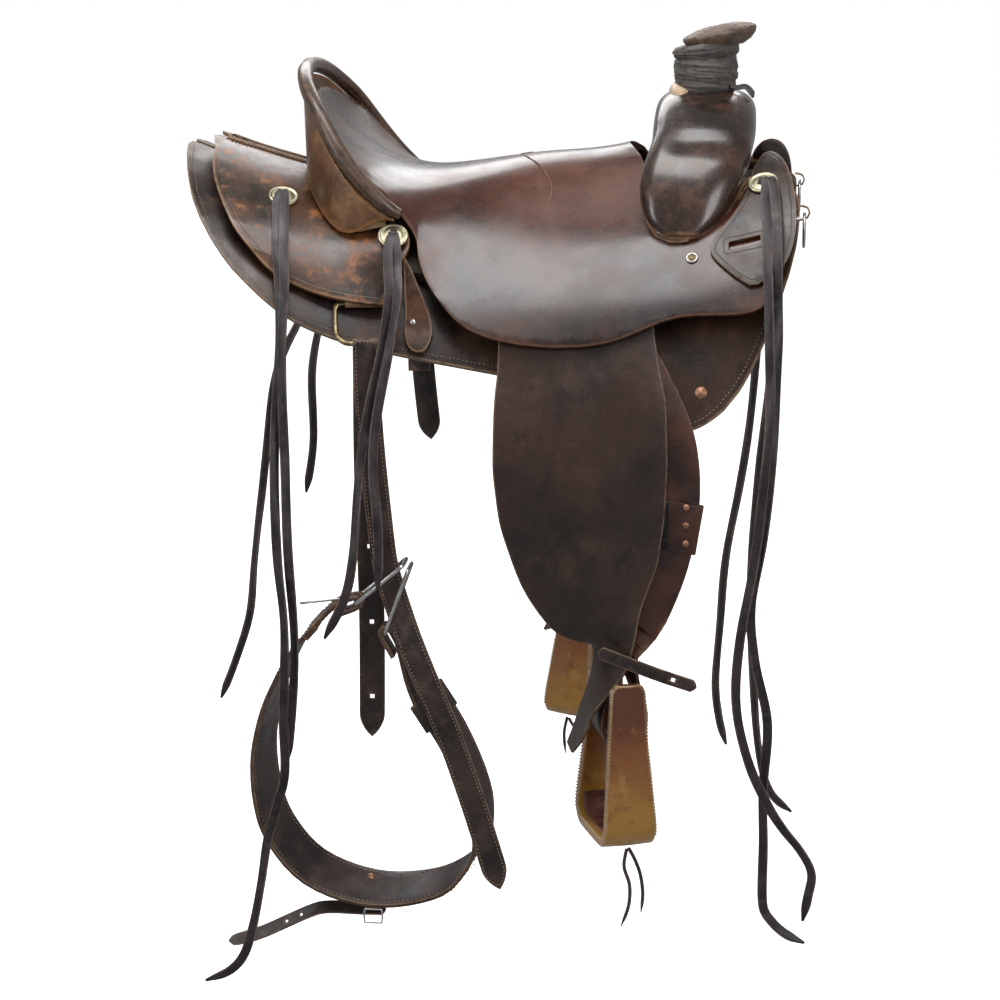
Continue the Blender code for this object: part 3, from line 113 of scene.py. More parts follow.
# ---------------------------------------------------------------- oiled leather
# Vegetable-tanned leather, darkened by oil, hands and dust. One node group holds the
# mottling, pores, scuffs and burnished edges; each hide gives it its own colours.

nodes = frame["nodes"]
SMOOTH_TURN = 38  # degrees; two faces that meet more sharply than this have a cut edge between them
MERGE = 2e-5
FAR_FROM_EDGE = 0.05


def new_group(name, numbers, colours):
    """An empty finish: its named colours and numbers in, a colour, a roughness and a height out."""
    group = bpy.data.node_groups.new(name, "ShaderNodeTree")
    for word, value in colours:
        socket = group.interface.new_socket(word, in_out="INPUT", socket_type="NodeSocketColor")
        socket.default_value = (*value, 1)
    for word, value in numbers:
        socket = group.interface.new_socket(word, in_out="INPUT", socket_type="NodeSocketFloat")
        socket.default_value = value
    group.interface.new_socket("Colour", in_out="OUTPUT", socket_type="NodeSocketColor")
    group.interface.new_socket("Roughness", in_out="OUTPUT", socket_type="NodeSocketFloat")
    group.interface.new_socket("Height", in_out="OUTPUT", socket_type="NodeSocketFloat")
    return group


class Tree:
    """Short calls for adding and joining nodes in one node tree."""

    def __init__(self, tree):
        self.tree = tree

    def add(self, kind, **settings):
        node = self.tree.nodes.new(kind)
        for key, value in settings.items():
            setattr(node, key, value)
        return node

    def put(self, socket, value):
        if isinstance(value, bpy.types.NodeSocket):
            self.tree.links.new(value, socket)
        elif isinstance(value, (tuple, list)) and len(value) == 3 and socket.type == "RGBA":
            socket.default_value = (*value, 1)
        else:
            socket.default_value = value

    def noise(self, where, scale, detail=4, rough=0.55, stretch=None):
        if stretch:
            turn = self.add("ShaderNodeMapping")
            self.put(turn.inputs["Vector"], where)
            turn.inputs["Scale"].default_value = stretch
            where = turn.outputs[0]
        node = self.add("ShaderNodeTexNoise")
        self.put(node.inputs["Vector"], where)
        self.put(node.inputs["Scale"], scale)
        node.inputs["Detail"].default_value = detail
        node.inputs["Roughness"].default_value = rough
        return node.outputs["Fac"]

    def cells(self, where, scale, feature="F1"):
        node = self.add("ShaderNodeTexVoronoi", feature=feature)
        self.put(node.inputs["Vector"], where)
        self.put(node.inputs["Scale"], scale)
        return node.outputs["Distance"]

    def span(self, value, low, high, to_low=0.0, to_high=1.0):
        node = self.add("ShaderNodeMapRange", interpolation_type="SMOOTHSTEP")
        self.put(node.inputs["Value"], value)
        self.put(node.inputs["From Min"], low)
        self.put(node.inputs["From Max"], high)
        self.put(node.inputs["To Min"], to_low)
        self.put(node.inputs["To Max"], to_high)
        return node.outputs["Result"]

    def math(self, operation, a, b=0.0):
        node = self.add("ShaderNodeMath", operation=operation)
        self.put(node.inputs[0], a)
        self.put(node.inputs[1], b)
        return node.outputs[0]

    def mix(self, share, a, b, blend="MIX"):
        node = self.add("ShaderNodeMix", data_type="RGBA", blend_type=blend)
        self.put(node.inputs["Factor"], share)
        self.put(node.inputs["A"], a)
        self.put(node.inputs["B"], b)
        return node.outputs["Result"]

    def attribute(self, name):
        return self.add("ShaderNodeAttribute", attribute_name=name).outputs["Fac"]


hide_group = new_group(
    "oiled_hide",
    (
        ("Patch scale", 9.0),
        ("Wear", 0.35),
        ("Pore scale", 700.0),
        ("Pore depth", 0.35),
        ("Roughness", 0.38),
        ("Edge reach", 0.0045),
        ("Edge strength", 0.7),
        ("Groove at", 0.006),
        ("Groove depth", 0.0),
    ),
    (
        ("Deep", (0.02, 0.01, 0.008)),
        ("Middle", (0.08, 0.03, 0.018)),
        ("Worn", (0.20, 0.08, 0.035)),
        ("Edge", (0.33, 0.19, 0.10)),
    ),
)
t = Tree(hide_group)
given = t.add("NodeGroupInput").outputs
spot = t.add("ShaderNodeTexCoord").outputs["Object"]
patches = t.noise(spot, given["Patch scale"], 5, 0.62)
body = t.mix(t.span(patches, 0.36, 0.62), given["Deep"], given["Middle"])
rubbed = t.noise(spot, t.math("MULTIPLY", given["Patch scale"], 2.3), 8, 0.68)
rub_share = t.math("MULTIPLY", t.span(rubbed, 0.50, 0.68), given["Wear"])
body = t.mix(rub_share, body, given["Worn"])
specks = t.noise(spot, 420.0, 3, 0.6)
body = t.mix(t.math("MULTIPLY", t.span(specks, 0.56, 0.72), 0.30), body, given["Worn"])
soot = t.noise(spot, 55.0, 6, 0.7)
body = t.mix(t.math("MULTIPLY", t.span(soot, 0.54, 0.70), 0.55), body, given["Deep"])
rim = t.attribute("edge")
near_rim = t.span(rim, 0.0, given["Edge reach"], 1.0, 0.0)
ragged = t.math("MULTIPLY", near_rim, t.span(t.noise(spot, 90.0, 5, 0.6), 0.30, 0.60, 0.25, 1.0))
ragged = t.math("MULTIPLY", ragged, given["Edge strength"])
body = t.mix(ragged, body, given["Edge"])
groove = t.math("ABSOLUTE", t.math("SUBTRACT", rim, given["Groove at"]))
groove = t.math("MULTIPLY", t.span(groove, 0.0, 0.0009, 1.0, 0.0), given["Groove depth"])
body = t.mix(t.math("MULTIPLY", groove, 0.75), body, given["Deep"])
pores = t.cells(spot, given["Pore scale"])
creases = t.noise(spot, 160.0, 6, 0.6)
height = t.math("ADD", t.math("MULTIPLY", pores, given["Pore depth"]), t.math("MULTIPLY", creases, 0.35))
height = t.math("ADD", height, t.math("MULTIPLY", t.noise(spot, 26.0, 4, 0.5), 0.8))
height = t.math("SUBTRACT", height, t.math("MULTIPLY", groove, 1.6))
gloss = t.math("ADD", given["Roughness"], t.span(rubbed, 0.35, 0.7, -0.09, 0.13))
gloss = t.math("ADD", gloss, t.math("MULTIPLY", ragged, 0.15))
ends = t.add("NodeGroupOutput")
t.put(ends.inputs["Colour"], body)
t.put(ends.inputs["Roughness"], gloss)
t.put(ends.inputs["Height"], height)


def hide(name, deep, middle, worn, edge=(0.33, 0.19, 0.10), coat=0.0, bump=0.35, sheen=0.0, **numbers):
    """A leather made from the group, with its own gloss, coat and bump."""
    material = bpy.data.materials.new(name)
    material.use_nodes = True
    tree = Tree(material.node_tree)
    shader = material.node_tree.nodes["Principled BSDF"]
    look = tree.add("ShaderNodeGroup", node_tree=hide_group)
    for word, value in (("Deep", deep), ("Middle", middle), ("Worn", worn), ("Edge", edge)):
        look.inputs[word].default_value = (*value, 1)
    for word, value in numbers.items():
        look.inputs[word.replace("_", " ")].default_value = value
    tree.put(shader.inputs["Base Color"], look.outputs["Colour"])
    tree.put(shader.inputs["Roughness"], look.outputs["Roughness"])
    lift = tree.add("ShaderNodeBump")
    lift.inputs["Strength"].default_value = bump
    lift.inputs["Distance"].default_value = 0.0006
    tree.put(lift.inputs["Height"], look.outputs["Height"])
    tree.put(shader.inputs["Normal"], lift.outputs["Normal"])
    shader.inputs["Coat Weight"].default_value = coat
    shader.inputs["Coat Roughness"].default_value = 0.16
    shader.inputs["Sheen Weight"].default_value = sheen
    shader.inputs["Sheen Roughness"].default_value = 0.4
    shader.inputs["Specular IOR Level"].default_value = 0.5
    return material


def dressed(piece, material, body, node=None):
    """Finishes a piece: its material, the body it rides on and the part it stands for."""
    piece.data.materials.clear()
    piece.data.materials.append(material)
    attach(piece, body)
    if node:
        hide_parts(node)
    return piece


def settle(bm, name, smooth=True):
    """Turns a bmesh into a piece standing at the origin."""
    mesh = bpy.data.meshes.new(name)
    bm.to_mesh(mesh)
    bm.free()
    if smooth:
        mesh.polygons.foreach_set("use_smooth", [True] * len(mesh.polygons))
    piece = bpy.data.objects.new(name, mesh)
    bpy.context.scene.collection.objects.link(piece)
    return piece


def sharp_edges(bm, angle):
    """The edges where a shape turns more than an angle."""
    limit = math.radians(angle)
    return [e for e in bm.edges if len(e.link_faces) == 2 and e.calc_face_angle(0) > limit]


def cut_hide(node, refine=1, rounding=0.0011, angle=SMOOTH_TURN, segments=2):
    """The part's own shape in leather: quads, a smooth surface and rounded edges."""
    bm = bmesh.new()
    bm.from_mesh(nodes[node].data)
    bmesh.ops.remove_doubles(bm, verts=bm.verts[:], dist=MERGE)
    bmesh.ops.join_triangles(
        bm, faces=bm.faces[:], angle_face_threshold=math.radians(30), angle_shape_threshold=math.radians(60)
    )
    crease = bm.edges.layers.float.new("crease_edge")
    for edge in sharp_edges(bm, angle):
        edge[crease] = 1.0
    piece = settle(bm, node + "_hide")
    if refine:
        surface = piece.modifiers.new("surface", "SUBSURF")
        surface.levels = surface.render_levels = refine
        shaped = bpy.data.meshes.new_from_object(piece.evaluated_get(bpy.context.evaluated_depsgraph_get()))
        piece.modifiers.clear()
        piece.data = shaped
    bm = bmesh.new()
    bm.from_mesh(piece.data)
    rims = sharp_edges(bm, angle)
    near = KDTree(len(rims) * 3)
    for i, edge in enumerate(rims):
        a, b = edge.verts[0].co, edge.verts[1].co
        for k, share in enumerate((0.0, 0.33, 0.67)):
            near.insert(a.lerp(b, share), i * 3 + k)
    near.balance()
    distance = bm.verts.layers.float.new("edge")
    for vert in bm.verts:
        vert[distance] = near.find(vert.co)[2] if rims and refine else FAR_FROM_EDGE
    if rounding:
        bmesh.ops.bevel(
            bm,
            geom=rims,
            offset=rounding,
            offset_type="OFFSET",
            affect="EDGES",
            segments=segments,
            profile=0.5,
            material=-1,
            clamp_overlap=True,
        )
    bm.to_mesh(piece.data)
    bm.free()
    piece.data.polygons.foreach_set("use_smooth", [True] * len(piece.data.polygons))
    return piece


# ---------------------------------------------------------------- saddle strings
# Flat latigo thongs, cut about 11 mm wide. Each is threaded through its concho and tied, and
# its two tails hang free and turn a little on the way down.

RIGHT, LEFT = -1, 1
STRING_WIDTH, STRING_THICK = 0.0112, 0.0024
HALF_BREADTH, ROCKER = 0.285, 0.5  # of the horse's barrel under the skirts
POINTS_PER_SPAN = 8
string_hide = hide(
    "string_latigo", (0.010, 0.007, 0.008), (0.038, 0.025, 0.027), (0.085, 0.058, 0.055), (0.20, 0.155, 0.14),
    Patch_scale=26.0, Roughness=0.46, Edge_reach=0.0013, Edge_strength=0.75, Wear=0.5, Pore_scale=1300.0,
)


def barrel_depth(x):
    """How deep the horse's barrel is, a way along its back."""
    return min(0.41, max(0.29, 0.35 + 0.2 * x))


def on_barrel(x, degrees, lift, side):
    """A point on the horse's side: how far along, how far round and how far off it."""
    depth = barrel_depth(x)
    turn = math.radians(degrees)
    rise = ROCKER * x * x - depth + (depth + lift) * math.cos(turn)
    return Vector((x, side * (HALF_BREADTH + lift) * math.sin(turn), rise))


def barrel_out(point):
    """The way out from the horse's side at a point."""
    depth = barrel_depth(point.x)
    if point.z < -0.12:
        return Vector((0, 1 if point.y > 0 else -1, 0))
    return Vector((0, point.y, (point.z - ROCKER * point.x**2 + depth) * 0.66)).normalized()


def curve_through(points, per_span=POINTS_PER_SPAN):
    """A smooth line through the points."""
    points = [Vector(p) for p in points]
    made = []
    for i in range(len(points) - 1):
        a, b = points[max(i - 1, 0)], points[i]
        c, d = points[i + 1], points[min(i + 2, len(points) - 1)]
        for k in range(per_span):
            s = k / per_span
            spot = 2 * b + (c - a) * s + (2 * a - 5 * b + 4 * c - d) * s * s
            made.append(0.5 * (spot + (3 * b - a - 3 * c + d) * s * s * s))
    return made + [points[-1]]


def evenly(line, step):
    """The same line with its points a step apart."""
    run = [0.0]
    for a, b in zip(line, line[1:]):
        run.append(run[-1] + (b - a).length)
    count = max(2, round(run[-1] / step))
    made, i = [], 0
    for k in range(count + 1):
        want = run[-1] * k / count
        while i < len(run) - 2 and run[i + 1] < want:
            i += 1
        made.append(line[i].lerp(line[i + 1], (want - run[i]) / max(run[i + 1] - run[i], 1e-9)))
    return made


def length_of(line):
    return sum((b - a).length for a, b in zip(line, line[1:]))


def lay_strip(name, line, facing, width, thick, taper=(0.0, 0.0), twist=None, rounding=0.0006):
    """A strip cut flat and laid along a line. facing(i, point) is the way its top looks there."""
    count = len(line) - 1
    bm = bmesh.new()
    bmesh.ops.create_grid(bm, x_segments=count, y_segments=2, size=0.5)
    length = length_of(line)
    for vert in bm.verts:
        i = min(count, round((vert.co.x + 0.5) * count))
        ahead = (line[min(i + 1, count)] - line[max(i - 1, 0)]).normalized()
        top = Vector(facing(i, line[i]))
        top = (top - ahead * top.dot(ahead)).normalized()
        if twist:
            top = Matrix.Rotation(twist(i / count), 3, ahead) @ top
        side = ahead.cross(top)
        here = length * i / count
        share = 1.0
        if taper[0] and here < taper[0]:
            share = 0.25 + 0.75 * here / taper[0]
        if taper[1] and length - here < taper[1]:
            share = 0.25 + 0.75 * (length - here) / taper[1]
        vert.co = line[i] + side * vert.co.y * width * share - top * thick / 2
    bmesh.ops.recalc_face_normals(bm, faces=bm.faces[:])
    probe = bm.faces[0]
    i = min(range(len(line)), key=lambda k: (line[k] - probe.calc_center_median()).length)
    if probe.normal.dot(Vector(facing(i, line[i]))) > 0:
        bmesh.ops.reverse_faces(bm, faces=bm.faces[:])
    bmesh.ops.solidify(bm, geom=bm.faces[:], thickness=-thick)
    bmesh.ops.recalc_face_normals(bm, faces=bm.faces[:])
    if rounding:
        rims = sharp_edges(bm, 50)
        bmesh.ops.bevel(
            bm, geom=rims, offset=rounding, offset_type="OFFSET", affect="EDGES", segments=2, profile=0.5,
            material=-1, clamp_overlap=True,
        )
    distance = bm.verts.layers.float.new("edge")
    for vert in bm.verts:
        near = min(range(len(line)), key=lambda k: (line[k] - vert.co).length_squared)
        vert[distance] = max(0.0, width / 2 - (vert.co - line[near]).length)
    return settle(bm, name)


TIES = {
    "rear": (
        ((-0.242, 50, 0.0270), (-0.246, 43, 0.031), (-0.251, 34, 0.0340), (-0.2545, 29, 0.035)),
        (-0.2590, 26.3, 0.0350),
        ((-0.2635, 29.5, 0.0300), (-0.2605, 34, 0.0270), (-0.2550, 43, 0.0235), (-0.250, 50, 0.0180)),
    ),
    "middle": (
        ((-0.113, 43, 0.0520), (-0.116, 39, 0.0570)),
        (-0.1205, 36.0, 0.0575),
        ((-0.1245, 39, 0.0570), (-0.1235, 43, 0.0530)),
    ),
    "front": (
        ((0.3085, 46, 0.0500), (0.3075, 38, 0.0530), (0.3045, 30, 0.0530)),
        (0.3085, 26, 0.0545),
        ((0.3140, 29, 0.0530), (0.3180, 38, 0.0530), (0.3195, 46, 0.0480)),
    ),
}
TAILS = {
    "rear_right": (
        ((-0.236, 0.308, -0.618), (-0.231, 0.308, -0.561), (-0.227, 0.308, -0.476), (-0.231, 0.307, -0.373))
        + ((-0.235, 0.291, -0.271), (-0.241, 0.277, -0.192), (-0.242, 0.266, -0.120)),
        ((-0.247, 0.2545, -0.128), (-0.249, 0.266, -0.194), (-0.248, 0.288, -0.272), (-0.244, 0.310, -0.373))
        + ((-0.237, 0.317, -0.454), (-0.238, 0.317, -0.558), (-0.237, 0.317, -0.626), (-0.248, 0.317, -0.668))
        + ((-0.261, 0.317, -0.711), (-0.270, 0.317, -0.763), (-0.281, 0.317, -0.820), (-0.292, 0.317, -0.856))
        + ((-0.310, 0.317, -0.877), (-0.338, 0.317, -0.890)),
    ),
    "rear_left": (
        ((-0.308, 0.285, -0.428), (-0.298, 0.285, -0.357), (-0.296, 0.282, -0.257), (-0.276, 0.276, -0.170))
        + ((-0.254, 0.266, -0.112),),
        ((-0.268, 0.2545, -0.120), (-0.310, 0.268, -0.190), (-0.349, 0.278, -0.279), (-0.369, 0.280, -0.439))
        + ((-0.379, 0.280, -0.524), (-0.388, 0.280, -0.598), (-0.410, 0.280, -0.665), (-0.432, 0.280, -0.722)),
    ),
    "middle_right": (
        ((-0.129, 0.313, -0.405), (-0.127, 0.312, -0.369), (-0.128, 0.305, -0.324), (-0.133, 0.296, -0.268))
        + ((-0.130, 0.287, -0.212), (-0.118, 0.275, -0.134), (-0.110, 0.262, -0.078)),
        ((-0.120, 0.2535, -0.080), (-0.126, 0.264, -0.135), (-0.138, 0.275, -0.191), (-0.148, 0.285, -0.248))
        + ((-0.154, 0.296, -0.304), (-0.158, 0.306, -0.372), (-0.167, 0.307, -0.419), (-0.190, 0.307, -0.467)),
    ),
    "middle_left": (
        ((-0.076, 0.274, -0.225), (-0.080, 0.273, -0.170), (-0.090, 0.268, -0.120), (-0.101, 0.260, -0.082)),
        ((-0.1120, 0.2515, -0.076), (-0.098, 0.258, -0.118), (-0.090, 0.262, -0.165), (-0.091, 0.264, -0.215)),
    ),
    "front_right": (
        ((0.365, 0.300, -0.795), (0.370, 0.300, -0.764), (0.373, 0.300, -0.736), (0.360, 0.300, -0.710))
        + ((0.339, 0.300, -0.683), (0.321, 0.300, -0.653), (0.299, 0.300, -0.601), (0.284, 0.300, -0.532))
        + ((0.286, 0.300, -0.453), (0.300, 0.300, -0.363), (0.313, 0.298, -0.247), (0.315, 0.285, -0.181))
        + ((0.312, 0.272, -0.127), (0.310, 0.258, -0.078)),
        ((0.321, 0.249, -0.080), (0.323, 0.261, -0.128), (0.321, 0.276, -0.205), (0.316, 0.288, -0.272))
        + ((0.309, 0.290, -0.341), (0.298, 0.290, -0.420), (0.305, 0.290, -0.485), (0.320, 0.290, -0.558))
        + ((0.315, 0.290, -0.639), (0.317, 0.290, -0.705), (0.319, 0.290, -0.776), (0.328, 0.290, -0.797))
        + ((0.346, 0.290, -0.814), (0.369, 0.290, -0.825)),
    ),
    "front_left": (
        ((0.271, 0.280, -0.769), (0.260, 0.280, -0.731), (0.253, 0.280, -0.677), (0.258, 0.280, -0.590))
        + ((0.265, 0.280, -0.509), (0.281, 0.280, -0.413), (0.291, 0.280, -0.329), (0.300, 0.279, -0.220))
        + ((0.306, 0.272, -0.140), (0.309, 0.260, -0.082)),
        ((0.321, 0.251, -0.082), (0.322, 0.262, -0.140), (0.318, 0.268, -0.240), (0.306, 0.268, -0.400))
        + ((0.298, 0.268, -0.564), (0.308, 0.268, -0.705), (0.319, 0.268, -0.791), (0.334, 0.268, -0.835))
        + ((0.361, 0.268, -0.860),),
    ),
}


def hang_tail(name, line, seed):
    """One tail, from its concho to its tip, turning a little on the way down."""
    line = evenly(line, 0.007)
    length = length_of(line)

    def twist(share):
        return 0.55 * math.sin(3.1 * share * length * 6 + seed) * min(1.0, share * 4)

    piece = lay_strip(
        name, line, lambda i, p: barrel_out(p), STRING_WIDTH, STRING_THICK, (0.0, 0.018), twist, 0.0005
    )
    dressed(piece, string_hide, "saddle")
    return piece


for name, (first, second) in TAILS.items():
    which, word = name.split("_")
    side = RIGHT if word == "right" else LEFT
    over, knot, under = TIES[which]
    route = [Vector((x, side * out, z)) for x, out, z in first]
    route += [on_barrel(*spot, side) for spot in (*over, knot, *under)]
    middle = len(first) + len(over)
    route += [Vector((x, side * out, z)) for x, out, z in second]
    line = curve_through(route)
    knot_at = middle * POINTS_PER_SPAN
    a = hang_tail("tail_over_" + name, line[: knot_at + 1][::-1], len(name))
    b = hang_tail("tail_under_" + name, line[knot_at:], len(name) * 1.7)
    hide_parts("string_" + name)
    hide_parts("string_" + name)

# ---------------------------------------------------------------- tree
# Two wooden bars, a fork, a cantle board and a ground seat, all under rawhide.
# Only slivers of it show, under the fork and inside the gullet.

rawhide = hide(
    "tree_rawhide", (0.30, 0.17, 0.08), (0.52, 0.34, 0.18), (0.66, 0.48, 0.30), (0.70, 0.55, 0.38),
    Patch_scale=14.0, Roughness=0.42, Wear=0.4, coat=0.15,
)
under_hide = hide("under_leather", (0.03, 0.018, 0.012), (0.07, 0.04, 0.025), (0.12, 0.07, 0.04), Roughness=0.6)
for node in ("tree_bar_right", "tree_bar_left"):
    dressed(cut_hide(node, 0, 0.0006), under_hide, "saddle", node)
for node in ("tree_fork", "tree_cantle", "ground_seat"):
    dressed(cut_hide(node, 0, 0.0006), rawhide, "saddle", node)

# ---------------------------------------------------------------- skirts and rear jockeys
# Thick skirting leather draped either side of the back, with the rear jockeys over them.
# Both have rounded, burnished edges; a row of light thread runs just inside each skirt's edge.

SIDES = ((RIGHT, "right"), (LEFT, "left"))
skirt_hide = hide(
    "skirt_hide", (0.012, 0.007, 0.006), (0.050, 0.023, 0.014), (0.15, 0.062, 0.026), (0.33, 0.20, 0.11),
    Patch_scale=8.0, Roughness=0.40, Wear=0.45, Edge_reach=0.0035, Edge_strength=0.8, coat=0.08,
)
jockey_hide = hide(
    "rear_jockey_hide", (0.020, 0.014, 0.009), (0.085, 0.034, 0.015), (0.34, 0.125, 0.036), (0.36, 0.20, 0.10),
    Patch_scale=17.0, Roughness=0.36, Wear=0.85, Edge_reach=0.005, Edge_strength=0.75, coat=0.15,
    Groove_at=0.0085, Groove_depth=0.5,
)
thread = bpy.data.materials.new("waxed_thread")
thread.use_nodes = True
tree = Tree(thread.node_tree)
shader = thread.node_tree.nodes["Principled BSDF"]
spot = tree.add("ShaderNodeTexCoord").outputs["Object"]
tree.put(
    shader.inputs["Base Color"],
    tree.mix(tree.noise(spot, 90.0, 4), (0.20, 0.13, 0.08), (0.50, 0.38, 0.25)),
)
tree.put(shader.inputs["Roughness"], tree.span(tree.noise(spot, 900.0, 2), 0.3, 0.7, 0.55, 0.8))


def face_parts(bm, angle):
    """Groups of faces parted by sharp edges."""
    limit, seen, groups = math.radians(angle), set(), []
    for face in bm.faces:
        if face in seen:
            continue
        group, stack = [], [face]
        seen.add(face)
        while stack:
            here = stack.pop()
            group.append(here)
            for edge in here.edges:
                if len(edge.link_faces) == 2 and edge.calc_face_angle(0) < limit:
                    for other in edge.link_faces:
                        if other not in seen:
                            seen.add(other)
                            stack.append(other)
        groups.append(group)
    return groups


def outline_loops(node, outward, angle=SMOOTH_TURN):
    """The outlines of the face of a sheet that looks outward, as lists of (point, inward, normal)."""
    bm = bmesh.new()
    bm.from_mesh(nodes[node].data)
    bmesh.ops.remove_doubles(bm, verts=bm.verts[:], dist=MERGE)
    groups = face_parts(bm, angle)
    best = max(
        groups,
        key=lambda g: sum(f.calc_area() * f.normal.dot(outward(f.calc_center_median())) for f in g),
    )
    chosen = set(best)
    border = {}
    for face in best:
        for edge in face.edges:
            if any(f not in chosen for f in edge.link_faces):
                for loop in face.loops:
                    if loop.edge == edge:
                        border[loop.vert] = (loop.link_loop_next.vert, face.normal.copy())
    loops = []
    while border:
        start = next(iter(border))
        ring, vert = [], start
        while vert in border:
            following, normal = border.pop(vert)
            along = (following.co - vert.co).normalized()
            ring.append((vert.co.copy(), normal.cross(along).normalized(), normal))
            vert = following
        loops.append(ring)
    loops.sort(key=lambda r: -sum((r[i][0] - r[i - 1][0]).length for i in range(len(r))))
    surface = BVHTree.FromBMesh(bm)
    bm.free()
    return loops, surface


THREAD_RADIUS, THREAD_LIFT = 0.00055, 0.0004
STITCH_SHARE = 0.62  # of the pitch; the rest is the gap where the thread goes down
STITCH_BATCH = 16


def stitch_line(name, points, outs):
    """A row of stitches: short rounded bars of thread lying along a line."""
    bm, few = bmesh.new(), bmesh.new()
    gathered = bpy.data.meshes.new("stitches")
    for i in range(len(points) - 1):
        a, b = points[i], points[i + 1]
        ahead = (b - a).normalized()
        out = Vector(outs[i])
        side = ahead.cross(out).normalized()
        place = Matrix((ahead, side, out)).transposed().to_4x4()
        place.translation = (a + b) / 2 + out * THREAD_LIFT
        size = Matrix.Diagonal(((b - a).length * STITCH_SHARE / 2, THREAD_RADIUS, THREAD_RADIUS, 1))
        bmesh.ops.create_uvsphere(few, u_segments=6, v_segments=4, radius=1, matrix=place @ size)
        if i % STITCH_BATCH == STITCH_BATCH - 1 or i == len(points) - 2:
            few.to_mesh(gathered)
            bm.from_mesh(gathered)
            few.clear()
    few.free()
    bpy.data.meshes.remove(gathered)
    return settle(bm, name)


def stitch_round(node, inset, outward, body, pitch=0.0050, keep=None, name=None):
    """Sews round a sheet's outline, a fixed way in from its edge."""
    loops, surface = outline_loops(node, outward)
    ring = loops[0]
    points = []
    for i, (point, inward, _) in enumerate(ring):
        toward = (inward + ring[i - 1][1]).normalized()
        points.append(point + toward * inset)
    points.append(points[0])
    runs = [[]]
    for point in evenly(curve_through(points, 4), pitch):
        found = surface.find_nearest(point)
        if keep and not keep(found[0]):
            runs.append([])
        else:
            runs[-1].append(found)
    runs = [run for run in runs if len(run) > 3]
    for k, run in enumerate(runs):
        row = f"{name or node}_stitch_{inset * 1000:.0f}_{k}"
        dressed(stitch_line(row, [r[0] for r in run], [r[1] for r in run]), thread, body)


for side, word in SIDES:
    skirt, jockey = "skirt_" + word, "rear_jockey_" + word
    dressed(cut_hide(skirt, 2, 0.0022, segments=3), skirt_hide, "saddle", skirt)
    dressed(cut_hide(jockey, 2, 0.0018, segments=3), jockey_hide, "saddle", jockey)
    stitch_round(skirt, 0.008, barrel_out, "saddle", keep=lambda p: abs(p.y) > 0.03)

# ---------------------------------------------------------------- seat
# One large hide, wet-moulded over the ground seat from the cantle dish to the fork, with the
# front and side jockeys cut in one with it. Oiled, waxed and polished by use.

seat_hide = hide(
    "seat_hide", (0.012, 0.005, 0.003), (0.090, 0.024, 0.011), (0.165, 0.052, 0.018), (0.19, 0.082, 0.035),
    coat=0.35, bump=0.18, Patch_scale=4.5, Roughness=0.30, Wear=0.40, Pore_depth=0.2, Edge_reach=0.0045,
    Edge_strength=0.5,
)
dressed(cut_hide("seat", 2, 0.0016, segments=3), seat_hide, "saddle", "seat")

# ---------------------------------------------------------------- cantle
# The cantle board is faced with leather behind and the dish in front, and the two are closed
# over the rim by a rolled binding, sewn through just below the roll.

binding_hide = hide(
    "binding_hide", (0.012, 0.008, 0.007), (0.040, 0.022, 0.016), (0.12, 0.055, 0.03), (0.20, 0.11, 0.06),
    coat=0.35, Patch_scale=20.0, Roughness=0.33, Wear=0.4,
)
cantle_hide = hide(
    "cantle_back_hide", (0.10, 0.045, 0.020), (0.26, 0.125, 0.055), (0.40, 0.22, 0.10), (0.48, 0.22, 0.07),
    coat=0.12, Patch_scale=13.0, Roughness=0.40, Wear=0.6, Edge_reach=0.006,
)
dressed(cut_hide("cantle_binding", 1, 0.0), binding_hide, "saddle", "cantle_binding")
dressed(cut_hide("cantle_back", 2, 0.0012), cantle_hide, "saddle", "cantle_back")

RIM = (  # one half of the roll, from its low end to the middle of the back
    (-0.114, 0.184, 0.010), (-0.132, 0.187, 0.020), (-0.163, 0.185, 0.050), (-0.190, 0.174, 0.086),
    (-0.213, 0.150, 0.122), (-0.233, 0.110, 0.149), (-0.243, 0.060, 0.163), (-0.247, 0.000, 0.168),
)
BELOW_THE_ROLL = 0.0165
SEAT_MIDDLE = Vector((-0.05, 0, 0.03))


def surface_of(node):
    """A part's own surface, to find points on."""
    bm = bmesh.new()
    bm.from_mesh(nodes[node].data)
    tree = BVHTree.FromBMesh(bm)
    bm.free()
    return tree


def cord_line(name, points, radius, material, body, roundness=2):
    """A round thread or bead laid along points."""
    data = bpy.data.curves.new(name, "CURVE")
    data.dimensions = "3D"
    data.bevel_depth = radius
    data.bevel_resolution = roundness
    data.use_fill_caps = True
    run = data.splines.new("POLY")
    run.points.add(len(points) - 1)
    for i, point in enumerate(points):
        run.points[i].co = (*point, 1)
    thing = bpy.data.objects.new(name, data)
    bpy.context.scene.collection.objects.link(thing)
    return dressed(thing, material, body)


def straight_down(surface, x, y):
    """Where a line dropped from above meets a surface."""
    return surface.ray_cast(Vector((x, y, 0.4)), Vector((0, 0, -1)))


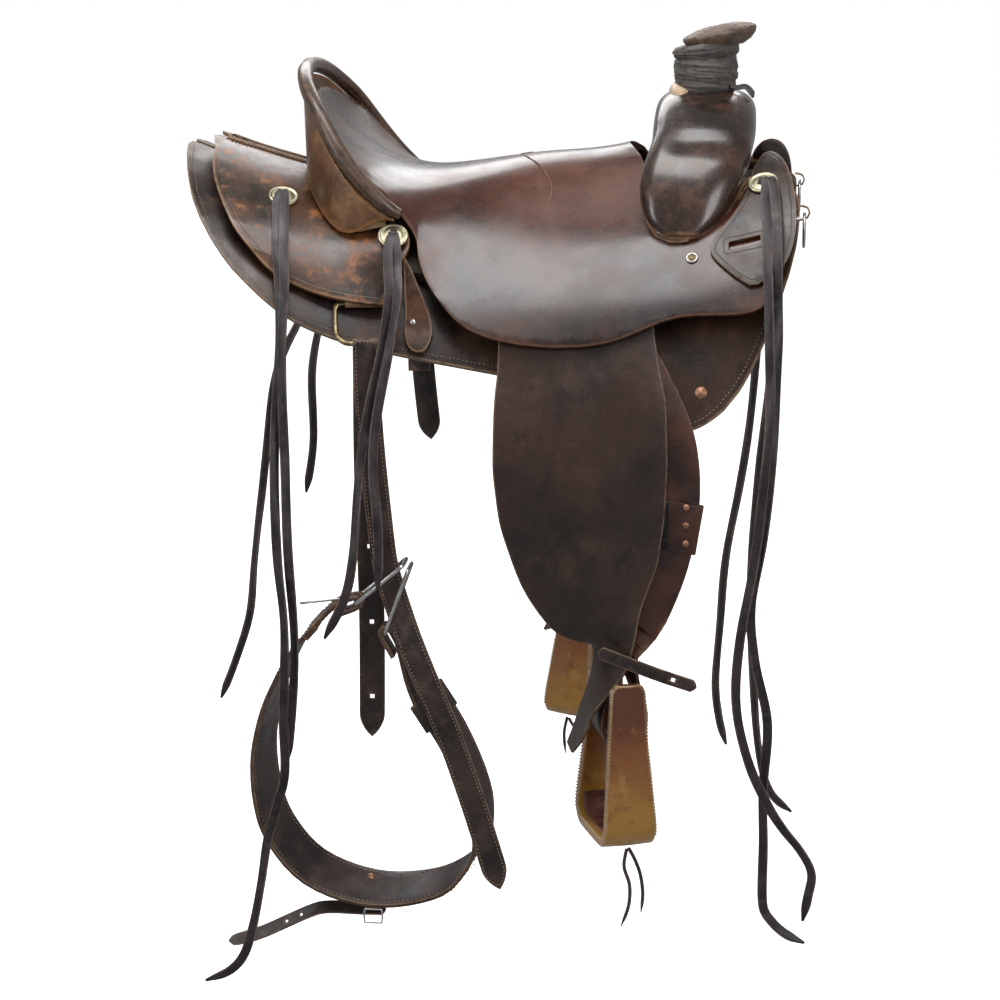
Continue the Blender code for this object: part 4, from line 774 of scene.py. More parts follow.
dark_thread = hide("dark_thread", (0.02, 0.013, 0.010), (0.07, 0.045, 0.03), (0.12, 0.08, 0.05), Roughness=0.6)
seat_surface, back_surface = surface_of("seat"), surface_of("cantle_back")
rim_line = curve_through([Vector(q) for q in RIM] + [Vector((x, -y, z)) for x, y, z in RIM[-2::-1]])
for word, surface, inset, stitching in (
    ("dish", seat_surface, BELOW_THE_ROLL, dark_thread),
    ("back", back_surface, -BELOW_THE_ROLL, thread),
):
    points, outs = [], []
    for point in evenly(rim_line, 0.0046):
        middle = SEAT_MIDDLE - point
        level = Vector((middle.x, middle.y, 0)).normalized()
        found = surface.find_nearest(point + level * inset + Vector((0, 0, -abs(inset) * 0.55)))
        points.append(found[0] + found[1] * 0.0003)
        outs.append(found[1])
    dressed(stitch_line(f"cantle_{word}_stitch", points, outs), stitching, "saddle")

# A seam crosses the seat in an arc, a hand's breadth behind the fork.
SEAM_ARC = ((0.010, 0.004), (0.0235, 0.0357), (0.0446, 0.0746), (0.0551, 0.1027), (0.0495, 0.1364))
for side, word in SIDES:
    line = []
    for point in evenly(curve_through([(x, y, 0) for x, y in SEAM_ARC]), 0.004):
        found = straight_down(seat_surface, point.x, side * point.y)
        line.append(found[0] + found[1] * -0.0001)
    cord_line("seat_seam_" + word, line, 0.0006, dark_thread, "saddle")

# Lace braided along the top edges of the rear jockeys, where the two sides meet.
braid_hide = hide(
    "braid_lace", (0.02, 0.012, 0.009), (0.065, 0.035, 0.022), (0.15, 0.07, 0.04),
    Roughness=0.45, Patch_scale=60.0,
)
BRAID_BACK, BRAID_LENGTH, BRAID_TURNS = -0.343, 0.112, 26
BRAID_IN_FROM_EDGE = 0.006
BRAID_SLANT = 0.55
for side, word in SIDES:
    surface = surface_of("rear_jockey_" + word)
    bm = bmesh.new()
    for k in range(BRAID_TURNS):
        x = BRAID_BACK + BRAID_LENGTH * k / (BRAID_TURNS - 1)
        for lean in (1, -1):
            edge_at = 0.002
            while edge_at < 0.05 and straight_down(surface, x, side * edge_at)[0] is None:
                edge_at += 0.001
            spot, out = straight_down(surface, x, side * (edge_at + BRAID_IN_FROM_EDGE))[:2]
            if spot is None:
                continue
            slant = Vector((BRAID_SLANT * lean, side, 0))
            ahead = (slant - out * slant.dot(out)).normalized()
            place = Matrix((ahead, out.cross(ahead), out)).transposed().to_4x4()
            place.translation = spot + out * (0.0009 + 0.0005 * lean)
            size = Matrix.Diagonal((0.0105, 0.0017, 0.0015, 1))
            bmesh.ops.create_uvsphere(bm, u_segments=8, v_segments=6, radius=1, matrix=place @ size)
    dressed(settle(bm, "jockey_braid_" + word), braid_hide, "saddle")

# ---------------------------------------------------------------- fork and horn
# The fork's cover is glossy dark leather. The horn's neck is wrapped in strips of split leather
# for roping, and its cap is a disc of sole leather, worn to dark ridges.

fork_hide = hide(
    "fork_hide", (0.011, 0.007, 0.006), (0.042, 0.019, 0.012), (0.19, 0.075, 0.026), (0.34, 0.19, 0.09),
    coat=0.6, Patch_scale=11.0, Roughness=0.27, Wear=0.45, Edge_reach=0.004,
)
wrap_hide = hide(
    "horn_wrap_hide", (0.012, 0.012, 0.013), (0.045, 0.042, 0.042), (0.11, 0.10, 0.095), (0.17, 0.15, 0.14),
    bump=0.7, Patch_scale=40.0, Roughness=0.52, Wear=0.6, Pore_depth=0.6,
)
cap_hide = hide(
    "horn_cap_hide", (0.016, 0.011, 0.010), (0.050, 0.033, 0.028), (0.14, 0.085, 0.06), (0.22, 0.14, 0.10),
    bump=0.6, Patch_scale=30.0, Roughness=0.45, Wear=0.5, coat=0.1,
)


def ease(low, high, value):
    """0 below low, 1 above high, and a soft change between."""
    share = min(1.0, max(0.0, (value - low) / (high - low)))
    return share * share * (3 - 2 * share)


# The cover is drawn over the swells, which are fuller low down than the wood beneath.
FORK_MIDDLE, FULLER_LOW_DOWN, DRAWN_OUT = 0.2145, 0.26, 0.0028
DENT_DEPTH, DENT_AT, DENT_WIDTH = 0.0045, 0.128, 0.012
fork = cut_hide("fork_cover", 2, 0.0012)
fork.data.update()
normals = [v.normal.copy() for v in fork.data.vertices]
for vert, normal in zip(fork.data.vertices, normals):
    low = ease(0.085, 0.155, abs(vert.co.y))
    x = FORK_MIDDLE + (vert.co.x - FORK_MIDDLE) * (1 + FULLER_LOW_DOWN * low) - 0.004 * low
    dent = DENT_DEPTH * math.exp(-(((abs(vert.co.y) - DENT_AT) / DENT_WIDTH) ** 2))
    dent *= ease(0.19, 0.215, vert.co.x)
    vert.co = Vector((x, vert.co.y, vert.co.z)) + normal * (DRAWN_OUT - dent)
dressed(fork, fork_hide, "saddle", "fork_cover")
dressed(cut_hide("horn", 0, 0.0008), rawhide, "saddle", "horn")


NECK_WAIST = (  # height up the wrap as a share, radius
    (0.0, 0.0335), (0.10, 0.0350), (0.32, 0.0372), (0.55, 0.0378), (0.66, 0.0350), (0.76, 0.0378), (0.92, 0.0392),
    (1.0, 0.0370),
)
WRAP_TURNS, WRAP_FOOT, WRAP_HEIGHT, NECK_X = 4.3, 0.1405, 0.0585, 0.2315


def wrapped_neck():
    """The neck's wrap: a cylinder drawn up from a grid, stepped where each turn laps the last."""
    bm = bmesh.new()
    bmesh.ops.create_grid(bm, x_segments=112, y_segments=64, size=0.5)
    for vert in bm.verts:
        around, up = (vert.co.x + 0.5) * math.tau, vert.co.y + 0.5
        for (u0, r0), (u1, r1) in zip(NECK_WAIST, NECK_WAIST[1:]):
            if u0 <= up <= u1 + 1e-6:
                radius = r0 + (r1 - r0) * (up - u0) / (u1 - u0)
        lap = (up * WRAP_TURNS + around / math.tau) % 1.0
        radius += 0.0016 * ease(0.0, 0.10, lap) * (1 - 0.8 * lap)
        ring = Vector((math.cos(around), math.sin(around), 0))
        rough = noise.fractal(Vector((ring.x * 2.2, ring.y * 2.2, up * 9)), 1.0, 2.0, 5)
        wrinkle = noise.noise(Vector((ring.x * 1.4, ring.y * 1.4, up * 22 + ring.x)))
        radius += 0.0009 * rough + 0.0009 * wrinkle
        height = WRAP_FOOT + WRAP_HEIGHT * up + 0.0085 * ring.x * ease(0.55, 1.0, up)
        vert.co = Vector((NECK_X + ring.x * radius, ring.y * radius, height))
    bmesh.ops.remove_doubles(bm, verts=bm.verts[:], dist=1e-5)
    holes = [e for e in bm.edges if len(e.link_faces) == 1]
    bmesh.ops.holes_fill(bm, edges=holes, sides=0)
    bmesh.ops.recalc_face_normals(bm, faces=bm.faces[:])
    return settle(bm, "horn_wrap_strips")


dressed(wrapped_neck(), wrap_hide, "saddle", "horn_wrap")


def lathe(name, profile, place, segments=64):
    """A profile of (radius, height) turned round the axis of a place."""
    bm = bmesh.new()
    verts = [bm.verts.new((radius, 0, height)) for radius, height in profile]
    edges = [bm.edges.new(pair) for pair in zip(verts, verts[1:])]
    bmesh.ops.spin(
        bm, geom=verts + edges, cent=(0, 0, 0), axis=(0, 0, 1), angle=math.tau, steps=segments, use_merge=True,
        use_duplicate=False,
    )
    bmesh.ops.remove_doubles(bm, verts=bm.verts[:], dist=1e-6)
    bmesh.ops.recalc_face_normals(bm, faces=bm.faces[:])
    bmesh.ops.transform(bm, matrix=place, verts=bm.verts[:])
    return settle(bm, name)


cap_place = Matrix.Translation((0.2475, 0, 0.2065)) @ Matrix.Rotation(math.radians(-12), 4, "Y")
cap_profile = (
    (0, -0.0150), (0.026, -0.0145), (0.036, -0.0105), (0.0425, -0.0040), (0.0445, 0.0010), (0.0442, 0.0036),
    (0.0425, 0.0052), (0.0408, 0.0050), (0.0396, 0.0064), (0.0372, 0.0072), (0.0352, 0.0068), (0.0340, 0.0082),
    (0.0310, 0.0090), (0.0288, 0.0085), (0.0276, 0.0098), (0.0235, 0.0106), (0.0212, 0.0100), (0.0200, 0.0112),
    (0.0100, 0.0118), (0, 0.0120),
)
cap = lathe("horn_cap_disc", cap_profile, cap_place, 72)
for vert in cap.data.vertices:
    vert.co += Vector((0, 0, 1)) * 0.0007 * noise.fractal(vert.co * 90, 1.0, 2.0, 4)
dressed(cap, cap_hide, "saddle", "horn_cap")

# A rawhide patch shows between the wrap and the fork's cover at the back of the neck.
bm = bmesh.new()
bmesh.ops.create_uvsphere(bm, u_segments=32, v_segments=20, radius=1)
patch_place = Matrix.Translation((0.2105, 0, 0.1245)) @ Matrix.Rotation(math.radians(-38), 4, "Y")
bmesh.ops.transform(bm, matrix=patch_place @ Matrix.Diagonal((0.0175, 0.047, 0.030, 1)), verts=bm.verts[:])
dressed(settle(bm, "neck_rawhide_patch"), rawhide, "saddle")

# The lace that closes the wrap is tied at the front of the neck, with its end left hanging.
LACE_END = (
    (0.262, -0.026, 0.150), (0.270, -0.020, 0.1475), (0.279, -0.018, 0.1485), (0.286, -0.020, 0.1425),
    (0.289, -0.021, 0.134),
)
lace_line = evenly(curve_through(LACE_END), 0.002)
lace = lay_strip("wrap_lace_end", lace_line, lambda i, p: (0, -0.6, 0.8), 0.008, 0.002, (0, 0.006))
dressed(lace, wrap_hide, "saddle")

# A rolled bead of leather closes the seam where the seat's cut meets the fork's cover.
bead_hide = hide(
    "bead_edge_hide", (0.05, 0.028, 0.018), (0.16, 0.085, 0.045), (0.30, 0.17, 0.09), coat=0.3, Roughness=0.34,
    Patch_scale=30.0,
)
SEAM_GAP = 0.022  # the seat's outline this near the fork is the cut that the bead closes
fork_surface = BVHTree.FromPolygons([v.co for v in fork.data.vertices], [p.vertices[:] for p in fork.data.polygons])
seat_outline = outline_loops("seat", barrel_out)[0][0]
for side, word in SIDES:
    seam = []
    for point, _, normal in seat_outline:
        if point.y * side > 0.07 and 0.15 < point.x < 0.30:
            found = fork_surface.find_nearest(point)
            if found[3] < SEAM_GAP:
                seam.append(point.lerp(found[0], 0.45) + normal * 0.0015)
    starts = max(range(len(seam)), key=lambda i: (seam[i] - seam[i - 1]).length)
    seam = evenly(curve_through(seam[starts:] + seam[:starts], 4), 0.003)
    for k, (shift, radius, material) in enumerate(((0.0, 0.0034, fork_hide), (0.0046, 0.0020, bead_hide))):
        line = [p + (fork_surface.find_nearest(p)[0] - p).normalized() * -shift for p in seam]
        cord_line(f"fork_bead_{k}_{word}", line, radius, material, "saddle", 3)

# ---------------------------------------------------------------- keepers, tabs and rigging
# Latigo keepers slotted for the cinch strap, rear tabs under the seat's corners, and the rigging
# straps that hold the rear dees.

keeper_hide = hide(
    "keeper_hide", (0.015, 0.010, 0.008), (0.055, 0.031, 0.021), (0.13, 0.07, 0.04), (0.26, 0.17, 0.11),
    coat=0.12, Patch_scale=18.0, Roughness=0.38, Groove_at=0.0055, Groove_depth=1.0, Edge_reach=0.0022,
)
tab_hide = hide(
    "tab_hide", (0.030, 0.015, 0.010), (0.13, 0.055, 0.028), (0.24, 0.11, 0.05), (0.40, 0.24, 0.13),
    coat=0.35, Patch_scale=22.0, Roughness=0.30, Edge_reach=0.003,
)
for side, word in SIDES:
    keeper = "latigo_keeper_" + word
    dressed(cut_hide(keeper, 2, 0.0012, segments=3), keeper_hide, "saddle", keeper)
    for node, refine, rounding, slot in (
        ("rear_tab_" + word, 2, 0.0012, "jockey_leather"),
        ("rear_rigging_" + word, 2, 0.0010, "strap_leather"),
        ("breast_tab_" + word, 1, 0.0006, "strap_leather"),
    ):
        dressed(cut_hide(node, refine, rounding), tab_hide, "saddle", node)

# ---------------------------------------------------------------- metal
# Nickel conchos gone yellow-green, dark brass dees, and steel rings, bolts and buckles.

metal_group = new_group(
    "handled_metal",
    (("Tarnish", 0.5), ("Roughness", 0.3), ("Grime scale", 120.0)),
    (("Bright", (0.6, 0.6, 0.58)), ("Dull", (0.25, 0.22, 0.16)), ("Dirt", (0.05, 0.04, 0.03))),
)
t = Tree(metal_group)
given = t.add("NodeGroupInput").outputs
spot = t.add("ShaderNodeTexCoord").outputs["Object"]
cloud = t.noise(spot, given["Grime scale"], 6, 0.65)
tone = t.mix(t.math("MULTIPLY", t.span(cloud, 0.40, 0.62), given["Tarnish"]), given["Bright"], given["Dull"])
dirt = t.noise(spot, t.math("MULTIPLY", given["Grime scale"], 3.0), 6, 0.7)
dirt = t.math("MULTIPLY", t.span(dirt, 0.52, 0.70), given["Tarnish"])
tone = t.mix(dirt, tone, given["Dirt"])
scratch = t.noise(spot, 300.0, 3, 0.5, (1.0, 6.0, 1.0))
ends = t.add("NodeGroupOutput")
t.put(ends.inputs["Colour"], tone)
t.put(ends.inputs["Roughness"], t.math("ADD", given["Roughness"], t.math("MULTIPLY", cloud, 0.25)))
t.put(ends.inputs["Height"], t.math("ADD", scratch, t.math("MULTIPLY", dirt, 0.5)))


def metal(name, bright, dull, tarnish, rough, grime=120.0):
    """A metal made from the group: its bright and dull colours and how much of it is tarnished."""
    material = bpy.data.materials.new(name)
    material.use_nodes = True
    tree = Tree(material.node_tree)
    shader = material.node_tree.nodes["Principled BSDF"]
    look = tree.add("ShaderNodeGroup", node_tree=metal_group)
    look.inputs["Bright"].default_value = (*bright, 1)
    look.inputs["Dull"].default_value = (*dull, 1)
    look.inputs["Tarnish"].default_value = tarnish
    look.inputs["Roughness"].default_value = rough
    look.inputs["Grime scale"].default_value = grime
    tree.put(shader.inputs["Base Color"], look.outputs["Colour"])
    tree.put(shader.inputs["Roughness"], look.outputs["Roughness"])
    lift = tree.add("ShaderNodeBump")
    lift.inputs["Strength"].default_value = 0.25
    lift.inputs["Distance"].default_value = 0.0002
    tree.put(lift.inputs["Height"], look.outputs["Height"])
    tree.put(shader.inputs["Normal"], lift.outputs["Normal"])
    shader.inputs["Metallic"].default_value = 1.0
    return material


steel = metal("worn_steel", (0.66, 0.66, 0.66), (0.36, 0.35, 0.33), 0.5, 0.22)
nickel = metal("tarnished_nickel", (0.62, 0.58, 0.42), (0.34, 0.31, 0.17), 0.75, 0.30, 160.0)
brass = metal("dark_brass", (0.46, 0.36, 0.20), (0.17, 0.12, 0.07), 0.85, 0.34)
copper = metal("old_copper", (0.50, 0.27, 0.17), (0.22, 0.11, 0.07), 0.7, 0.38)
black_iron = metal("black_iron", (0.05, 0.05, 0.055), (0.02, 0.02, 0.02), 0.6, 0.40)

for side, word in SIDES:
    dee, ring, bolt = "rear_dee_" + word, "breast_ring_" + word, "stirrup_bolt_" + word
    dressed(cut_hide(dee, 1, 0.0), brass, "rear_dee_swing_" + word, dee)
    dressed(cut_hide(ring, 1, 0.0), steel, "breast_ring_swing_" + word, ring)
    dressed(cut_hide(bolt, 0, 0.0008), steel, "stirrup_swing_" + word, bolt)
for node in ("cinch_buckle_free", "cinch_buckle_hung"):
    dressed(cut_hide(node, 1, 0.0), steel, "flank_set_right", node)
dressed(cut_hide("cinch_tongue_free", 1, 0.0), steel, "free_tongue", "cinch_tongue_free")

# Small fittings: a ferrule and screw at each side of the fork, a copper burr rivet on each
# skirt and a screw through each rear tab.
SMALL = (  # name, place and facing on the left side, metal, turned profile
    ("ferrule", (0.2227, 0.202, -0.0339), (-0.13, 0.70, 0.70), steel,
     ((0.0046, 0), (0.0050, 0.0014), (0.0060, 0.0019), (0.0070, 0.0013), (0.0073, 0))),
    ("ferrule_screw", (0.2227, 0.202, -0.0339), (-0.13, 0.70, 0.70), brass,
     ((0, 0.0012), (0.0026, 0.0011), (0.0031, 0.0004), (0.0045, 0.0002))),
    ("skirt_rivet", (0.2364, 0.251, -0.181), (-0.05, 0.94, 0.34), copper,
     ((0, 0.0016), (0.0030, 0.0015), (0.0036, 0.0008), (0.0068, 0.0006), (0.0072, 0))),
    ("tab_screw", (-0.0954, 0.2254, -0.1086), (-0.01, 0.90, 0.45), steel,
     ((0, 0.0008), (0.0024, 0.0008), (0.0032, 0))),
)
for name, where, out, material, profile in SMALL:
    for side, word in SIDES:
        out_here = Vector((out[0], out[1] * side, out[2])).normalized()
        place = out_here.to_track_quat("Z", "Y").to_matrix().to_4x4()
        place.translation = Vector((where[0], where[1] * side, where[2]))
        dressed(lathe(f"{name}_{word}", profile, place, 24), material, "saddle")

# ---------------------------------------------------------------- conchos
# Cast nickel discs with a rolled rim and a domed middle. The string's two strands come up
# through the slot, cross in a bleed knot on the face and go down again.

CONCHO_PROFILE = (
    (0, 0.0002), (0.0172, 0.0002), (0.0180, 0.0010), (0.0178, 0.0022), (0.0166, 0.0031), (0.0152, 0.0030),
    (0.0142, 0.0021), (0.0128, 0.0022), (0.0110, 0.0030), (0.0070, 0.0042), (0.0058, 0.0040), (0, 0.0041),
)
KNOT_STRANDS = ((0.5, 0.0085), (2.3, 0.0080), (1.35, 0.0095))  # the way each lies on the face, half its length
KNOT_POINTS = 15


def disc_place(node):
    """A flat round part's own axes: Z out of its face."""
    bm = bmesh.new()
    bm.from_mesh(nodes[node].data)
    centre = sum((v.co for v in bm.verts), Vector()) / len(bm.verts)
    way = barrel_out(centre)
    out = Vector()
    for face in bm.faces:
        if face.normal.dot(way) > 0.9:
            out += face.normal * face.calc_area()
    out.normalize()
    down = (Vector((0, 0, -1)) + out * out.z).normalized()
    base = min(v.co.dot(out) for v in bm.verts)
    place = Matrix((down.cross(out), down, out)).transposed().to_4x4()
    place.translation = centre + out * (base - centre.dot(out))
    bm.free()
    return place


for side, word in SIDES:
    for which in ("rear", "middle", "front"):
        node = f"concho_{which}_{word}"
        place = disc_place(node)
        dressed(lathe(node + "_disc", CONCHO_PROFILE, place, 48), nickel, "saddle", node)
        for k, (turn, reach) in enumerate(KNOT_STRANDS):
            loop = []
            for i in range(KNOT_POINTS):
                share = i / (KNOT_POINTS - 1)
                along = reach * (2 * share - 1)
                rise = 0.0036 + (0.0032 + 0.0012 * k) * math.sin(math.pi * share)
                loop.append(place @ Vector((along * math.cos(turn), along * math.sin(turn), rise)))
            out = place.col[2].to_3d()
            strand = lay_strip(f"{node}_knot_{k}", loop, lambda i, p, out=out: out, 0.0076, 0.0022)
            dressed(strand, string_hide, "saddle")

# ---------------------------------------------------------------- fenders and stirrup leathers
# The fender shields the rider's leg and hangs with the stirrup leather from one bar of the tree.
# The leather doubles back through a quick-change buckle and turns round the stirrup's bolt.

fender_hide = hide(
    "fender_hide", (0.014, 0.009, 0.007), (0.052, 0.025, 0.017), (0.105, 0.048, 0.030), (0.28, 0.18, 0.11),
    coat=0.12, bump=0.5, Patch_scale=7.0, Roughness=0.38, Wear=0.40, Pore_scale=520.0, Pore_depth=0.7,
    Edge_reach=0.0028, Edge_strength=0.7,
)
leather_red = hide(
    "stirrup_leather_hide", (0.022, 0.008, 0.006), (0.085, 0.027, 0.014), (0.16, 0.058, 0.027), (0.28, 0.15, 0.08),
    coat=0.15, Patch_scale=12.0, Roughness=0.38, Wear=0.35, Edge_reach=0.002,
)
strap_hide = hide(
    "strap_hide", (0.013, 0.009, 0.008), (0.050, 0.028, 0.024), (0.11, 0.062, 0.046), (0.28, 0.18, 0.12),
    coat=0.05, Patch_scale=20.0, Roughness=0.44, Wear=0.5, Edge_reach=0.0022, Edge_strength=0.75,
)
PLATE_SIZE = (0.024, 0.0024, 0.056)
SLEEVE_RIVETS, RIVET_PITCH = 3, 0.021
RIVET_PROFILE = ((0, 0), (0.0042, 0), (0.0040, 0.0008), (0.0024, 0.0018), (0, 0.0021))
for side, word in SIDES:
    leathers = "leathers_" + word
    for node, refine, rounding, segments, material, slot in (
        ("fender_" + word, 2, 0.0012, 3, fender_hide, "fender_leather"),
        ("stirrup_leather_" + word, 1, 0.0010, 2, leather_red, "strap_leather"),
        ("buckle_sleeve_" + word, 0, 0.0008, 2, leather_red, "strap_leather"),
    ):
        dressed(cut_hide(node, refine, rounding, segments=segments), material, leathers, node)
    low, high = (Vector(c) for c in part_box("buckle_sleeve_" + word))
    face_y = low.y if side == RIGHT else high.y
    centre = Vector((low.x + 0.034, face_y + side * 0.0012, (low.z + high.z) / 2))
    bm = bmesh.new()
    bmesh.ops.create_cube(bm, size=1, matrix=Matrix.Translation(centre) @ Matrix.Diagonal((*PLATE_SIZE, 1)))
    bmesh.ops.bevel(
        bm, geom=bm.edges[:], offset=0.0009, offset_type="OFFSET", affect="EDGES", segments=2, profile=0.5,
        material=-1,
    )
    dressed(settle(bm, "quick_change_plate_" + word, False), black_iron, leathers)
    for k in range(SLEEVE_RIVETS):
        spot = Vector((low.x + 0.066, face_y + side * 0.0004, low.z + 0.014 + RIVET_PITCH * k))
        place = Matrix.Translation(spot) @ Matrix.Rotation(math.radians(90 * -side), 4, "X")
        rivet = lathe(f"sleeve_rivet_{k}_{word}", RIVET_PROFILE, place, 20)
        dressed(rivet, copper, leathers)
    hobble = "hobble_strap_" + word
    dressed(cut_hide(hobble, 1, 0.0006), strap_hide, leathers, hobble)

# ---------------------------------------------------------------- stirrups
# Bent wood under wet-shrunk rawhide, sewn along one edge and shellacked. The rawhide runs from
# red-brown at the neck to amber and pale tan at the tread.

amber = bpy.data.materials.new("shellacked_rawhide")
amber.use_nodes = True
tree = Tree(amber.node_tree)
shader = amber.node_tree.nodes["Principled BSDF"]
spot = tree.add("ShaderNodeTexCoord").outputs["Object"]
rise = tree.add("ShaderNodeSeparateXYZ")
tree.put(rise.inputs[0], spot)
cloudy = tree.noise(spot, 24.0, 6, 0.6)
level = tree.math("ADD", rise.outputs["Z"], tree.math("MULTIPLY", tree.math("SUBTRACT", cloudy, 0.5), 0.05))
tone = tree.mix(tree.span(level, -0.69, -0.60), (0.40, 0.20, 0.03), (0.24, 0.075, 0.014))
tone = tree.mix(tree.span(level, -0.61, -0.55), tone, (0.13, 0.032, 0.010))
tone = tree.mix(tree.span(level, -0.715, -0.685, 1.0, 0.0), tone, (0.50, 0.27, 0.08))
blotch = tree.noise(spot, 70.0, 6, 0.65)
tone = tree.mix(tree.math("MULTIPLY", tree.span(blotch, 0.50, 0.66), 0.45), tone, (0.14, 0.040, 0.010))
glow = tree.math("MULTIPLY", tree.span(tree.noise(spot, 40.0, 5), 0.58, 0.74), 0.35)
tone = tree.mix(glow, tone, (0.55, 0.32, 0.08))
edge = tree.span(tree.attribute("edge"), 0.0, 0.0035, 0.6, 0.0)
tone = tree.mix(edge, tone, (0.62, 0.42, 0.2))
tree.put(shader.inputs["Base Color"], tone)
tree.put(shader.inputs["Roughness"], tree.span(blotch, 0.3, 0.7, 0.16, 0.34))
lift = tree.add("ShaderNodeBump")
lift.inputs["Strength"].default_value = 0.4
lift.inputs["Distance"].default_value = 0.0008
tree.put(lift.inputs["Height"], tree.math("ADD", blotch, tree.noise(spot, 260.0, 4)))
tree.put(shader.inputs["Normal"], lift.outputs["Normal"])
shader.inputs["Coat Weight"].default_value = 0.7
shader.inputs["Coat Roughness"].default_value = 0.12
for side, word in SIDES:
    bow = cut_hide("stirrup_" + word, 2, 0.0016, segments=3)
    dressed(bow, amber, "stirrup_swing_" + word, "stirrup_" + word)

# Each tread is lined with red-brown leather, the rawhide's open edges are whipped with pale
# lace, and two thin thongs hang from the foot of each. All of it is laid out from the bolt:
# out along it, fore and aft, and up.
liner_hide = hide(
    "tread_liner_hide", (0.06, 0.018, 0.012), (0.17, 0.052, 0.034), (0.28, 0.11, 0.07), (0.33, 0.17, 0.11),
    Patch_scale=30.0, Roughness=0.55, Wear=0.7, bump=0.6,
)
lace_pale = hide(
    "whip_lace", (0.30, 0.19, 0.09), (0.55, 0.40, 0.22), (0.66, 0.52, 0.33), Roughness=0.4, Patch_scale=60.0
)
hinges = {j["name"]: j for j in frame["joints"]}
treads = {m["name"]: m for m in frame["record"]["mounts"]}
PLATE_EDGE = (  # distance out along the bolt, half width, height
    (0.0488, 0.0150, 0.071), (0.0492, 0.0196, 0.062), (0.0500, 0.0220, 0.030), (0.0504, 0.0234, 0.0),
    (0.0560, 0.0258, -0.030), (0.0604, 0.0279, -0.062), (0.0636, 0.0303, -0.092), (0.0610, 0.0309, -0.108),
)
STIRRUP_THONGS = {
    "right": (
        ((0.047, 0, -0.1268), (0.047, -0.003, -0.148), (0.047, 0.004, -0.172), (0.047, 0.003, -0.198))
        + ((0.047, -0.006, -0.222),),
        ((0.045, 0.003, -0.1268), (0.045, 0.011, -0.142), (0.045, 0.018, -0.162), (0.045, 0.021, -0.186))
        + ((0.045, 0.019, -0.208),),
    ),
    "left": (
        ((-0.047, 0, -0.1268), (-0.047, -0.010, -0.140), (-0.047, -0.024, -0.156), (-0.047, -0.036, -0.176)),
        ((-0.045, 0.003, -0.1268), (-0.045, 0.006, -0.150), (-0.045, 0.002, -0.178)),
    ),
}
THONG_WIDTH, THONG_THICK = 0.0042, 0.0016
LINER_WIDTH, LINER_THICK, LINER_OFF = 0.046, 0.0024, 0.0030
LINER_STARTS, LINER_SWEEP, LINER_POINTS = -8, 164, 41  # degrees round the inside of the bow
WHIP_PITCH, WHIP_LEAN = 0.0042, 0.35
for side, word in SIDES:
    body = "stirrup_swing_" + word
    hinge = hinges["stirrup_turn_" + word]
    out, up = Vector(hinge["axis"]).normalized(), Vector(treads["tread_" + word]["axis"]).normalized()
    place = Matrix((out, up.cross(out), up)).transposed().to_4x4()
    place.translation = Vector(hinge["pos_m"])
    inside = surface_of("stirrup_" + word)
    heart = place @ Vector((0, 0, -0.080))
    path = []
    for k in range(LINER_POINTS):
        angle = math.radians(LINER_STARTS - LINER_SWEEP * k / (LINER_POINTS - 1))
        ray = (place.col[0].to_3d() * math.cos(angle) + place.col[2].to_3d() * math.sin(angle)).normalized()
        path.append(inside.ray_cast(heart, ray)[0] - ray * LINER_OFF)
    line = evenly(path, 0.004)
    liner = lay_strip("tread_liner_" + word, line, lambda i, p, h=heart: h - p, LINER_WIDTH, LINER_THICK)
    dressed(liner, liner_hide, body)
    bm = bmesh.new()
    for plate in (1, -1):
        for edge in (1, -1):
            corner = [place @ Vector((plate * (u - 0.0015), edge * w, z)) for u, w, z in PLATE_EDGE]
            line = evenly(curve_through(corner), WHIP_PITCH)
            for a, b in zip(line, line[1:]):
                along = (b - a).normalized()
                across = (place.col[0].to_3d() * plate + along * WHIP_LEAN).normalized()
                side_way = across.cross(place.col[1].to_3d() * edge).normalized()
                turn = Matrix((across, side_way, across.cross(side_way))).transposed().to_4x4()
                turn.translation = (a + b) / 2
                size = Matrix.Diagonal((0.0042, 0.0009, 0.0010, 1))
                bmesh.ops.create_uvsphere(bm, u_segments=6, v_segments=4, radius=1, matrix=turn @ size)
    dressed(settle(bm, "stirrup_whipping_" + word), lace_pale, body)
    for k, path in enumerate(STIRRUP_THONGS[word]):
        line = evenly(curve_through([place @ Vector(q) for q in path]), 0.0035)
        thong = lay_strip(
            f"stirrup_thong_{k}_{word}", line, lambda i, p: (0, -1, 0.2), THONG_WIDTH, THONG_THICK, (0, 0.012), None,
            0.0003,
        )
        dressed(thong, string_hide, body)

# ---------------------------------------------------------------- flank cinch
# A wide doubled strap hung by its buckles from the near billet, sewn along both edges, with a
# short strap riveted below it that ties to the front cinch in use.

cinch_hide = hide(
    "cinch_hide", (0.013, 0.009, 0.009), (0.052, 0.031, 0.028), (0.115, 0.068, 0.055), (0.29, 0.17, 0.095),
    coat=0.04, Patch_scale=16.0, Roughness=0.46, Wear=0.6, Edge_reach=0.003, Edge_strength=0.7,
)
dressed(cut_hide("flank_cinch", 1, 0.0010), cinch_hide, "flank_set_right", "flank_cinch")
dressed(cut_hide("connecting_strap", 1, 0.0006), strap_hide, "flank_set_right", "connecting_strap")
for side, word in SIDES:
    billet = "flank_billet_" + word
    dressed(cut_hide(billet, 1, 0.0008), strap_hide, "flank_set_" + word, billet)

# Thread along both edges of the cinch and of each billet.
LOOP_HEART = Vector((-0.15, -0.26, -0.62))


def to_heart(point):
    """The way in, from a point on the cinch to the middle of its loop."""
    return (Vector((LOOP_HEART.x, point.y, LOOP_HEART.z)) - point).normalized()


